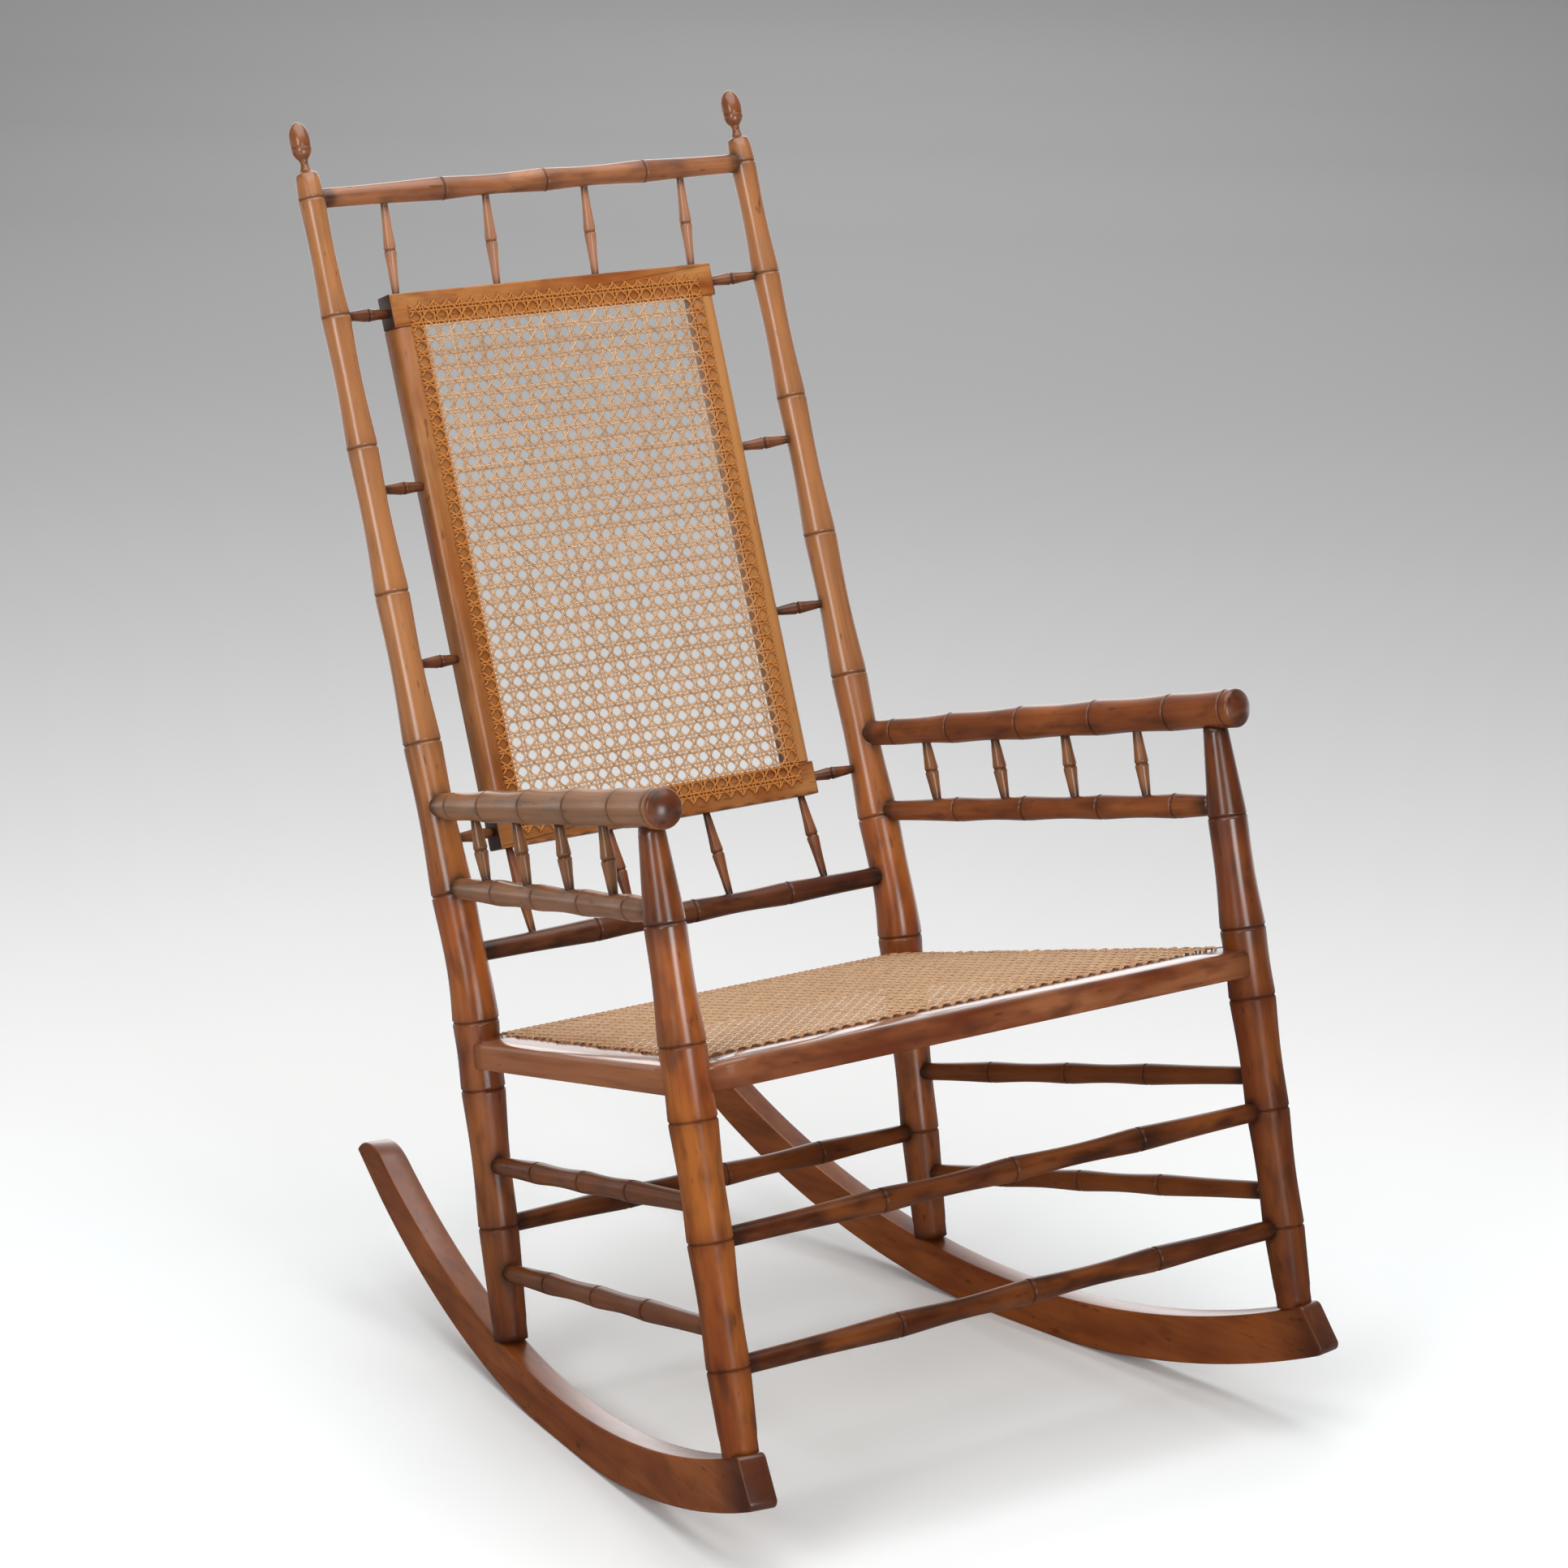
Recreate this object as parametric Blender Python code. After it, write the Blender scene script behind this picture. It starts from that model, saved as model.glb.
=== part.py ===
# Cane seat rocking chair in bamboo turnings.
# Metres, +Z up. The sitter faces -Y, so the sitter's left is +X.
# Y runs back from the front feet until the root empty centres the chair.
import math

import bpy
import bmesh
from mathutils import Matrix, Vector

# Fits
CLEARANCE = 0.0003
SOCKET_LIP = 0.003
CUT_MARGIN = 0.010
MERGE_DISTANCE = 0.000001
SHARP_ANGLE = math.radians(40)

# Post layout
FRONT_POST_SPREAD = 0.594
BACK_POST_SPREAD = 0.465
FOOT_SPACING = 0.4175
FRONT_LEAN = math.radians(16.4)
LOWER_BACK_LEAN = math.radians(12.9)
UPPER_BACK_LEAN = math.radians(22.6)
BACK_BEND_HEIGHT = 0.346
BACK_BEND_RADIUS = 0.30

# Rockers
ROCKER_RADIUS = 0.80
ROCKER_CONTACT = 0.2985
ROCKER_REST_FLAT = 0.168
ROCKER_REST_DROP = 0.0022
ROCKER_TOE = 0.044
ROCKER_TAIL = 0.7255
ROCKER_THICKNESS = 0.026
ROCKER_DEPTH_FRONT = 0.0445
ROCKER_DEPTH_BACK = 0.038
ROCKER_TAIL_ROUND = 0.048
ROCKER_TOE_ROUND = 0.006
ROCKER_FACET = 0.056
TAIL_STEPS = 4
ROUND_STEPS = 3
FOOT_SEAT_LENGTH = 0.037
FOOT_TENON_RADIUS = 0.0085
FOOT_TENON_DEPTH = 0.020
FOOT_BLANK = 0.030

# Turned forms
GROOVE_DEPTH = 0.0013
GROOVE_HALF_WIDTH = 0.0018
WAIST_RATE = 0.014
POST_SIDES = 12
RAIL_SIDES = 8
SPINDLE_SIDES = 6

# Front posts, radii from the foot up to the arm
FRONT_FOOT_RADIUS = 0.0150
FRONT_RING_RADII = (0.0178, 0.0188, 0.0202, 0.0198, 0.0186)
FRONT_TOP_RADIUS = 0.0103
FRONT_TOP_TAPER = 0.071
ARM_TENON_DEPTH = 0.013

# Back posts, radii from the foot up to the crest rail
BACK_FOOT_RADIUS = 0.0148
BACK_RING_RADII = (0.0174, 0.0192, 0.0202, 0.0188, 0.0169, 0.0154, 0.0140, 0.0131, 0.0120)
BACK_RING_SHARES = (0.181, 0.394, 0.606, 0.813)

# Rings on the posts above and below the seat frame
SEAT_RING_ABOVE = 0.027
SEAT_RING_BELOW = 0.031

# Acorn finials, heights above the crest rail along the post
SHOULDER_RADIUS = 0.0098
SHOULDER_RISE = 0.0215
SHOULDER_SLOPE = 0.003
NECK_RADIUS = 0.0038
NECK_FLARE_RADIUS = 0.0048
NECK_LENGTH = 0.011
CUP_RADIUS = 0.0091
CUP_LENGTH = 0.010
CUP_FLARE_LENGTH = 0.006
NUT_RADIUS = 0.0094
NUT_LENGTH = 0.023
NUT_TIP_RADIUS = 0.0011
NUT_SHARES = (0.35, 0.68, 0.90)

# Round tenons of rails, stretchers and spindles
RAIL_TENON_DEPTH = 0.008
SPINDLE_TENON_DEPTH = 0.006

# Stretchers
FRONT_STRETCHER_HEIGHTS = (0.1706, 0.2687)
BACK_STRETCHER_HEIGHT = 0.1430
SIDE_STRETCHER_BACK_HEIGHTS = (0.1044, 0.1960)
SIDE_STRETCHER_FRONT_HEIGHTS = (0.1997, 0.2963)
STRETCHER_END_RADIUS = 0.0082
STRETCHER_RING_RADIUS = 0.0106
SIDE_STRETCHER_END_RADIUS = 0.0078
SIDE_STRETCHER_RING_RADIUS = 0.0096
QUARTER_RINGS = (0.27, 0.52, 0.77)
SIDE_RINGS = (0.21, 0.46, 0.71)

# Arms and arm rails
ARM_BACK_HEIGHT = 0.4936
ARM_FRONT_HEIGHT = 0.6010
ARM_OVERHANG = 0.034
ARM_TENON_RADIUS = 0.0108
ARM_RING_RADII = (0.0122, 0.0140, 0.0152, 0.0158, 0.0162, 0.0170)
ARM_RINGS = (0.11, 0.28, 0.483, 0.692, 0.895, 1.045)
ARM_END_ROUND = 0.006
ARM_RAIL_BACK_DROP = 0.0660
ARM_RAIL_FRONT_DROP = 0.0792
ARM_RAIL_END_RADIUS = 0.0090
ARM_RAIL_RING_RADIUS = 0.0112
ARM_RAIL_RINGS = (0.22, 0.44, 0.68, 0.91)
ARM_SPINDLES = 4
ARM_SPINDLE_SETBACK = 0.005
ARM_SPINDLE_END_RADIUS = 0.0040
ARM_SPINDLE_RING_RADIUS = 0.0064

# Back rails and spindles, distances along the upper posts
LOWER_RAIL_RISE = 0.0296
LOWER_SPINDLE_GAP = 0.0842
CREST_SPINDLE_GAP = 0.0885
BACK_RAIL_END_RADIUS = 0.0086
BACK_RAIL_RING_RADIUS = 0.0106
BACK_SPINDLE_INSET = 0.014
BACK_SPINDLES = 4
BACK_SPINDLE_END_RADIUS = 0.0033
BACK_SPINDLE_RING_RADIUS = 0.0058
SIDE_SPINDLE_INSET = 0.016
SIDE_SPINDLES = 4
SIDE_SPINDLE_END_RADIUS = 0.0037
SIDE_SPINDLE_RING_RADIUS = 0.0060

# Back panel
PANEL_SETBACK = 0.0115
PANEL_SIDE_GAP = 0.0588
PANEL_HEIGHT = 0.494
PANEL_THICKNESS = 0.020
PANEL_RAIL_WIDTH = 0.030
PANEL_STILE_WIDTH = 0.0295
STILE_ROUND = 0.010
STILE_TENON_WIDTH = 0.0155
STILE_TENON_THICKNESS = 0.008
STILE_TENON_LENGTH = 0.012

# Seat frame, laid flat along the sloping seat
SEAT_HEIGHT = 0.393
SEAT_SLOPE = math.radians(14.6)
SEAT_RAIL_WIDTH = 0.048
SEAT_RAIL_THICKNESS = 0.025
SEAT_NOSE = 0.008
SEAT_FRONT_OFFSET = 0.0155
SEAT_BACK_OFFSET = 0.0155
SEAT_SIDE_OFFSET = 0.012
SEAT_TENON_RADIUS = 0.007
SEAT_TENON_DEPTH = 0.009
SEAT_TENON_ROOT = 0.015
MITRE_GAP = 0.0005

# Cane
CANE_THICKNESS = 0.0022
CANE_STRAND = 0.0060
BACK_CANE_SIDE_BORDER = 0.0150
BACK_CANE_END_BORDER = 0.0205
BACK_CANE_COLUMNS = 8
BACK_CANE_ROWS = 14
SEAT_CANE_INSET = 0.029
SEAT_CANE_COLUMNS = 11
SEAT_CANE_ROWS = 8

# Finishes as base colour and roughness
FINISHES = {
    "post": ((0.36, 0.145, 0.045), 0.30),
    "rail": ((0.25, 0.090, 0.032), 0.32),
    "stretcher": ((0.17, 0.062, 0.026), 0.34),
    "arm": ((0.24, 0.105, 0.050), 0.28),
    "rocker": ((0.23, 0.090, 0.040), 0.36),
    "panel": ((0.42, 0.180, 0.045), 0.32),
    "seat": ((0.24, 0.090, 0.035), 0.34),
    "cane": ((0.55, 0.340, 0.150), 0.45),
}

SIDES = {"left": 1, "right": -1}

for old in list(bpy.data.objects):
    bpy.data.objects.remove(old, do_unlink=True)

root = bpy.data.objects.new("rocking_chair", None)
bpy.context.collection.objects.link(root)
nodes = {}
mortises = {}


# Building blocks

def finish_material(name, finish):
    colour, roughness = FINISHES[finish]
    material = bpy.data.materials.new(name)
    material.use_nodes = True
    shader = material.node_tree.nodes["Principled BSDF"]
    shader.inputs["Base Color"].default_value = (*colour, 1.0)
    shader.inputs["Roughness"].default_value = roughness
    shader.inputs["Metallic"].default_value = 0.0
    return material


def link_mesh(name, bm, parent):
    bmesh.ops.recalc_face_normals(bm, faces=bm.faces[:])
    mesh = bpy.data.meshes.new(name)
    bm.to_mesh(mesh)
    bm.free()
    piece = bpy.data.objects.new(name, mesh)
    piece.parent = parent
    bpy.context.collection.objects.link(piece)
    return piece


def add_piece(name, bm, finish, parent=root, smooth=True):
    piece = link_mesh(name, bm, parent)
    piece.data.materials.append(finish_material(name, finish))
    if smooth:
        piece.data.shade_smooth()
        piece.data.set_sharp_from_angle(angle=SHARP_ANGLE)
    nodes[name] = piece
    return piece


def add_tool(name, bm, parent=root):
    tool = link_mesh(name, bm, parent)
    tool.hide_render = True
    tool.display_type = "WIRE"
    return tool


def combine(piece, tool, operation):
    modifier = piece.modifiers.new(tool.name, "BOOLEAN")
    modifier.operation = operation
    modifier.solver = "EXACT"
    modifier.object = tool


def along(start, run):
    """Frame at start whose Z follows run and whose X stays level."""
    z_axis = run.normalized()
    x_axis = Vector((-z_axis.y, z_axis.x, 0.0)).normalized()
    y_axis = z_axis.cross(x_axis)
    frame = Matrix((x_axis, y_axis, z_axis)).transposed().to_4x4()
    return Matrix.Translation(start) @ frame


def upright(start, run):
    """Frame at start whose Z follows run and whose X is the chair's X."""
    z_axis = run.normalized()
    y_axis = z_axis.cross(Vector((1.0, 0.0, 0.0))).normalized()
    x_axis = y_axis.cross(z_axis)
    frame = Matrix((x_axis, y_axis, z_axis)).transposed().to_4x4()
    return Matrix.Translation(start) @ frame


def turn(bm, stations, sides, place=Matrix()):
    """Spins (distance, radius) stations about the Z of place into a closed body."""
    known = set(bm.verts)
    outline = [(stations[0][0], 0.0), *stations, (stations[-1][0], 0.0)]
    profile = [bm.verts.new((radius, 0.0, distance)) for distance, radius in outline]
    edges = [bm.edges.new(pair) for pair in zip(profile, profile[1:])]
    bmesh.ops.spin(bm, geom=profile + edges, cent=(0, 0, 0), axis=(0, 0, 1), angle=math.tau,
                   steps=sides, use_merge=True)
    fresh = [vert for vert in bm.verts if vert not in known]
    bmesh.ops.remove_doubles(bm, verts=fresh, dist=MERGE_DISTANCE)
    fresh = [vert for vert in bm.verts if vert not in known]
    bmesh.ops.transform(bm, matrix=place, verts=fresh)
    return fresh


def grown(radius, sides):
    """Radius of a hollow that clears a body of the same sides all round."""
    return radius + CLEARANCE / math.cos(math.pi / sides)


def bamboo(rings):
    """Stations of grooved crests at the (distance, radius) rings with a waist between each two."""
    stations = []
    for index, (place, radius) in enumerate(rings):
        if index:
            last_place, last_radius = rings[index - 1]
            waist = (radius + last_radius) / 2 - WAIST_RATE * (place - last_place)
            stations.append(((place + last_place) / 2, waist))
        stations.append((place - GROOVE_HALF_WIDTH, radius))
        stations.append((place, radius - GROOVE_DEPTH))
        stations.append((place + GROOVE_HALF_WIDTH, radius))
    return stations


def between(low, high, share):
    return low + (high - low) * share


def read_radius(stations, distance):
    """Radius of a turned profile at a distance, ignoring its grooves and waists."""
    for (low, low_radius), (high, high_radius) in zip(stations, stations[1:]):
        if low <= distance <= high:
            return between(low_radius, high_radius, (distance - low) / (high - low))
    return stations[-1][1]


def add_mortise(host, place, depth, radius, sides):
    """Hollow in host for a round tenon whose tip is at place and whose Z runs out of the host."""
    hollow = grown(radius, sides)
    bm = mortises.setdefault(host, bmesh.new())
    turn(bm, [(-CLEARANCE, hollow), (depth + CUT_MARGIN, hollow)], sides, place)


def tenoned(name, start, end, depth, end_radius, ring_radius, rings, sides, finish):
    """Turned piece with both round ends in mortises.

    start and end each hold the host's name, a point on the host's axis
    and the distance from that point to the host's surface.
    """
    first_host, first_point, first_cover = start
    last_host, last_point, last_cover = end
    run = (last_point - first_point).normalized()
    tip = first_point + run * (first_cover - depth)
    far_tip = last_point - run * (last_cover - depth)
    length = (far_tip - tip).length
    first_shown = depth + SOCKET_LIP
    last_shown = length - depth - SOCKET_LIP
    crests = [(between(first_shown, last_shown, share), ring_radius) for share in rings]
    stations = [(0.0, end_radius), (first_shown, end_radius), *bamboo(crests),
                (last_shown, end_radius), (length, end_radius)]
    place = along(tip, run)
    bm = bmesh.new()
    turn(bm, stations, sides)
    piece = add_piece(name, bm, finish)
    piece.matrix_basis = place
    add_mortise(first_host, place, depth, end_radius, sides)
    turned_about = Matrix.Translation(far_tip - tip) @ place @ Matrix.Rotation(math.pi, 4, "X")
    add_mortise(last_host, turned_about, depth, end_radius, sides)


# Rockers

rocker_run = Vector(((BACK_POST_SPREAD - FRONT_POST_SPREAD) / 2, FOOT_SPACING, 0.0))
facet_angle = ROCKER_FACET / ROCKER_RADIUS
rest_half_angle = math.asin(ROCKER_REST_FLAT / 2 / (ROCKER_RADIUS + ROCKER_REST_DROP))
sole_centre = Vector((ROCKER_CONTACT, (ROCKER_RADIUS + ROCKER_REST_DROP) * math.cos(rest_half_angle)))
toe_angle = math.asin((-ROCKER_TOE - ROCKER_CONTACT) / ROCKER_RADIUS)
tail_angle = math.asin((ROCKER_TAIL - ROCKER_CONTACT) / ROCKER_RADIUS)
front_foot_angle = math.asin(-ROCKER_CONTACT / (ROCKER_RADIUS - ROCKER_DEPTH_FRONT))
back_foot_angle = math.asin((rocker_run.length - ROCKER_CONTACT) / (ROCKER_RADIUS - ROCKER_DEPTH_BACK))
foot_half_angle = FOOT_SEAT_LENGTH / 2 / (ROCKER_RADIUS - ROCKER_DEPTH_FRONT)


def rocker_depth(angle):
    share = (angle - front_foot_angle) / (back_foot_angle - front_foot_angle)
    return between(ROCKER_DEPTH_FRONT, ROCKER_DEPTH_BACK, share)


def rocker_point(angle, rise):
    """Point on the board, as distance along it and height, at a rise above the sole's arc."""
    radius = ROCKER_RADIUS - rise
    return sole_centre + Vector((radius * math.sin(angle), -radius * math.cos(angle)))


def rocker_top(angle):
    return rocker_point(angle, rocker_depth(angle))


def spaced(low, high, step):
    """Evenly spaced inner values between low and high, about step apart."""
    count = max(2, round((high - low) / step))
    return [between(low, high, index / count) for index in range(1, count)]


def fillet(before, corner, after, radius):
    """Points of a round that takes the place of an outline's corner."""
    inward, outward = (before - corner).normalized(), (after - corner).normalized()
    half = inward.angle(outward) / 2
    centre = corner + (inward + outward).normalized() * (radius / math.sin(half))
    first = corner + inward * (radius / math.tan(half)) - centre
    sweep = (math.pi - 2 * half) * math.copysign(1.0, inward.cross(outward))
    steps = range(ROUND_STEPS + 1)
    return [centre + Matrix.Rotation(-sweep * step / ROUND_STEPS, 2) @ first for step in steps]


def rocker_outline():
    """Outline of the board: sole from toe to tail, rounded tail, then the top back to the toe."""
    sole = spaced(toe_angle, -rest_half_angle, facet_angle)
    outline = [rocker_point(angle, 0.0) for angle in sole]
    outline += [rocker_point(angle, -ROCKER_REST_DROP) for angle in (-rest_half_angle, rest_half_angle)]
    round_angle = tail_angle - ROCKER_TAIL_ROUND / ROCKER_RADIUS
    outline += [rocker_point(angle, 0.0) for angle in spaced(rest_half_angle, tail_angle, facet_angle)]
    for step in range(TAIL_STEPS + 1):
        turn_angle = math.pi / 2 * step / TAIL_STEPS
        angle = between(round_angle, tail_angle, math.cos(turn_angle))
        outline.append(rocker_point(angle, rocker_depth(round_angle) * math.sin(turn_angle)))
    back_flat = back_foot_angle + foot_half_angle, back_foot_angle - foot_half_angle
    front_flat = front_foot_angle + foot_half_angle, front_foot_angle - foot_half_angle
    outline += [rocker_top(angle) for angle in spaced(round_angle, back_flat[0], -facet_angle)]
    outline += [rocker_top(angle) for angle in back_flat]
    outline += [rocker_top(angle) for angle in spaced(back_flat[1], front_flat[0], -facet_angle)]
    outline.append(rocker_top(front_flat[0]))
    toe_top, toe = rocker_top(front_flat[1]), rocker_point(toe_angle, 0.0)
    outline += fillet(outline[-1], toe_top, toe, ROCKER_TOE_ROUND)
    outline += fillet(toe_top, toe, outline[0], ROCKER_TOE_ROUND)
    return outline


def foot_seat(angle):
    """Middle of the flat under a post foot and the flat's upward normal, in the rocker's plane."""
    front = rocker_top(angle - foot_half_angle)
    back = rocker_top(angle + foot_half_angle)
    slope = (back - front).normalized()
    return (front + back) / 2, Vector((-slope.y, slope.x))


def rocker_frame(side):
    """Frame of a rocker: X across the board, Y along it from the front foot, Z up."""
    y_axis = Vector((rocker_run.x * side, rocker_run.y, 0.0)).normalized()
    x_axis = y_axis.cross(Vector((0.0, 0.0, 1.0)))
    frame = Matrix((x_axis, y_axis, Vector((0.0, 0.0, 1.0)))).transposed().to_4x4()
    return Matrix.Translation((FRONT_POST_SPREAD / 2 * side, 0.0, 0.0)) @ frame


def add_rocker(label, side):
    bm = bmesh.new()
    half = ROCKER_THICKNESS / 2
    board = bm.faces.new([bm.verts.new((-half, point.x, point.y)) for point in rocker_outline()])
    across = bmesh.ops.extrude_face_region(bm, geom=[board])["geom"]
    moved = [item for item in across if isinstance(item, bmesh.types.BMVert)]
    bmesh.ops.translate(bm, vec=(ROCKER_THICKNESS, 0.0, 0.0), verts=moved)
    piece = add_piece(f"rocker_{label}", bm, "rocker")
    piece.matrix_basis = rocker_frame(side)


# Post axes

front_seat, front_seat_normal = foot_seat(front_foot_angle)
back_seat, back_seat_normal = foot_seat(back_foot_angle)
bend_corner = Vector((0.0, FOOT_SPACING + (BACK_BEND_HEIGHT - back_seat.y) * math.tan(LOWER_BACK_LEAN),
                      BACK_BEND_HEIGHT))
bend_reach = BACK_BEND_RADIUS * math.tan((UPPER_BACK_LEAN - LOWER_BACK_LEAN) / 2)

# Panel and back rails, rises along the upper posts from their bend
panel_width = BACK_POST_SPREAD - 2 * PANEL_SIDE_GAP
panel_low_rise = LOWER_RAIL_RISE + LOWER_SPINDLE_GAP
panel_centre_rise = panel_low_rise + PANEL_HEIGHT / 2
panel_top_rise = panel_low_rise + PANEL_HEIGHT
crest_rail_rise = panel_top_rise + CREST_SPINDLE_GAP
spindle_pitch = (panel_width - 2 * BACK_SPINDLE_INSET) / (BACK_SPINDLES - 1)
side_spindle_pitch = (PANEL_HEIGHT - 2 * SIDE_SPINDLE_INSET) / (SIDE_SPINDLES - 1)
arm_rail_back_height = ARM_BACK_HEIGHT - ARM_RAIL_BACK_DROP
arm_rail_front_height = ARM_FRONT_HEIGHT - ARM_RAIL_FRONT_DROP


def lean_vector(lean):
    return Vector((0.0, math.sin(lean), math.cos(lean)))


front_run = lean_vector(FRONT_LEAN)


def front_axis(height):
    rise = height - front_seat.y
    return Vector((FRONT_POST_SPREAD / 2, rise * math.tan(FRONT_LEAN), height))


def back_axis(height):
    """Point on the straight runs of the left back post's axis."""
    lean = LOWER_BACK_LEAN if height < BACK_BEND_HEIGHT else UPPER_BACK_LEAN
    depth = bend_corner.y + (height - BACK_BEND_HEIGHT) * math.tan(lean)
    return Vector((BACK_POST_SPREAD / 2, depth, height))


def back_place(rise):
    """Point and lean of the bent axis at a distance along it from the bend's corner."""
    arc = BACK_BEND_RADIUS * (UPPER_BACK_LEAN - LOWER_BACK_LEAN)
    start = bend_corner - lean_vector(LOWER_BACK_LEAN) * bend_reach
    travel = rise + arc / 2
    if travel <= 0.0:
        return start + lean_vector(LOWER_BACK_LEAN) * travel, LOWER_BACK_LEAN
    lean = LOWER_BACK_LEAN + min(travel, arc) / BACK_BEND_RADIUS
    point = start + Vector((0.0, math.cos(LOWER_BACK_LEAN) - math.cos(lean),
                            math.sin(lean) - math.sin(LOWER_BACK_LEAN))) * BACK_BEND_RADIUS
    return point + lean_vector(UPPER_BACK_LEAN) * max(0.0, travel - arc), lean


def rounded_end(end, radius, round_radius):
    """Stations of a flat turned end with a rounded rim."""
    stations = []
    for step in range(ROUND_STEPS + 1):
        angle = math.pi / 2 * step / ROUND_STEPS
        stations.append((end - round_radius * (1.0 - math.sin(angle)),
                         radius - round_radius * (1.0 - math.cos(angle))))
    return stations


def mirrored(point, side):
    return Vector((point.x * side, point.y, point.z))


def back_point(across, rise):
    """Point in the plane of the upper back posts, at a rise along them from the bend."""
    point = bend_corner + lean_vector(UPPER_BACK_LEAN) * rise
    return Vector((across, point.y, point.z))


def panel_point(across, rise):
    """Point in the middle plane of the panel, which stands behind the posts' plane."""
    behind = Vector((0.0, math.cos(UPPER_BACK_LEAN), -math.sin(UPPER_BACK_LEAN)))
    return back_point(across, rise) + behind * PANEL_SETBACK


# Seat plane through both pairs of posts

seat_front = front_axis(SEAT_HEIGHT)
seat_matrix = Matrix.Translation((0.0, seat_front.y, SEAT_HEIGHT)) @ Matrix.Rotation(-SEAT_SLOPE, 4, "X")
lower_gap = back_axis(0.0).y - seat_front.y + SEAT_HEIGHT * math.tan(LOWER_BACK_LEAN)
gap_per_depth = math.cos(SEAT_SLOPE) + math.sin(SEAT_SLOPE) * math.tan(LOWER_BACK_LEAN)
seat_depth = lower_gap / gap_per_depth
seat_back_height = SEAT_HEIGHT - seat_depth * math.sin(SEAT_SLOPE)


# Turned profiles of the posts

arm_front_radius = ARM_RING_RADII[-1]


def front_rings():
    """Rings of a front post as height and radius, from the foot up."""
    heights = [*FRONT_STRETCHER_HEIGHTS, SEAT_HEIGHT - SEAT_RING_BELOW, SEAT_HEIGHT + SEAT_RING_ABOVE,
               ARM_FRONT_HEIGHT - arm_front_radius - FRONT_TOP_TAPER]
    return list(zip(heights, FRONT_RING_RADII))


def back_rings():
    """Rings of a back post as height and radius, from the foot up."""
    seat_ring = seat_back_height + SEAT_RING_ABOVE
    spindle_ring = back_point(0.0, panel_top_rise - SIDE_SPINDLE_INSET).z
    heights = [BACK_STRETCHER_HEIGHT, seat_back_height - SEAT_RING_BELOW, seat_ring]
    heights += [between(seat_ring, spindle_ring, share) for share in BACK_RING_SHARES]
    heights += [spindle_ring, back_point(0.0, crest_rail_rise).z]
    return list(zip(heights, BACK_RING_RADII))


def front_radius(height):
    top = ARM_FRONT_HEIGHT - arm_front_radius
    return read_radius([(front_seat.y, FRONT_FOOT_RADIUS), *front_rings(), (top, FRONT_TOP_RADIUS)], height)


def back_radius(height):
    return read_radius([(back_seat.y, BACK_FOOT_RADIUS), *back_rings()], height)


def on_front(label, height):
    side = SIDES[label]
    return f"front_post_{label}", mirrored(front_axis(height), side), front_radius(height)


def on_back(label, height):
    side = SIDES[label]
    return f"back_post_{label}", mirrored(back_axis(height), side), back_radius(height)


def seat_foot(bm, point, normal, axis, foot_radius):
    """Cuts a post off along its seat on the rocker and leaves a round tenon below."""
    cut = bmesh.ops.bisect_plane(bm, geom=bm.verts[:] + bm.edges[:] + bm.faces[:],
                                 plane_co=point + normal * CLEARANCE, plane_no=-normal, clear_outer=True)
    rim = [item for item in cut["geom_cut"] if isinstance(item, bmesh.types.BMEdge)]
    bmesh.ops.edgeloop_fill(bm, edges=rim)
    sole = max((face for face in bm.faces if face.normal.length), key=lambda face: len(face.verts))
    sole_axis = point + axis * (CLEARANCE / axis.dot(normal))
    shoulder = bmesh.ops.extrude_discrete_faces(bm, faces=[sole])["faces"][0]
    for vert in shoulder.verts:
        vert.co = sole_axis + (vert.co - sole_axis) * (FOOT_TENON_RADIUS / foot_radius)
    tenon = bmesh.ops.extrude_discrete_faces(bm, faces=[shoulder])["faces"][0]
    for vert in tenon.verts:
        vert.co -= axis * (FOOT_TENON_DEPTH + (vert.co - sole_axis).dot(axis))


def foot_plane(seat, normal, side):
    """Seat point and normal of a post foot in the chair's frame."""
    frame = rocker_frame(side)
    point = frame @ Vector((0.0, seat.x, seat.y))
    return point, frame.to_3x3() @ Vector((0.0, normal.x, normal.y))


def add_foot_mortise(label, point, axis):
    tip = point - axis * FOOT_TENON_DEPTH
    add_mortise(f"rocker_{label}", upright(tip, axis), FOOT_TENON_DEPTH, FOOT_TENON_RADIUS, POST_SIDES)


def add_front_post(label, side):
    point, normal = foot_plane(front_seat, front_seat_normal, side)
    foot = mirrored(front_axis(front_seat.y), side)
    per_height = 1.0 / math.cos(FRONT_LEAN)
    rings = [((height - foot.z) * per_height, radius) for height, radius in front_rings()]
    underside = (ARM_FRONT_HEIGHT - foot.z) * per_height - arm_front_radius
    stations = [(-FOOT_BLANK, FRONT_FOOT_RADIUS), (FRONT_FOOT_RADIUS, FRONT_FOOT_RADIUS), *bamboo(rings),
                (underside - SOCKET_LIP, FRONT_TOP_RADIUS), (underside + ARM_TENON_DEPTH, FRONT_TOP_RADIUS)]
    place = upright(foot, front_run)
    into = place.inverted()
    bm = bmesh.new()
    turn(bm, stations, POST_SIDES)
    seat_foot(bm, into @ point, into.to_3x3() @ normal, Vector((0.0, 0.0, 1.0)), FRONT_FOOT_RADIUS)
    piece = add_piece(f"front_post_{label}", bm, "post")
    piece.matrix_basis = place
    add_foot_mortise(label, foot, front_run)
    top = upright(foot + front_run * (underside + ARM_TENON_DEPTH), -front_run)
    add_mortise(f"arm_{label}", top, ARM_TENON_DEPTH, FRONT_TOP_RADIUS, POST_SIDES)


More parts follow.
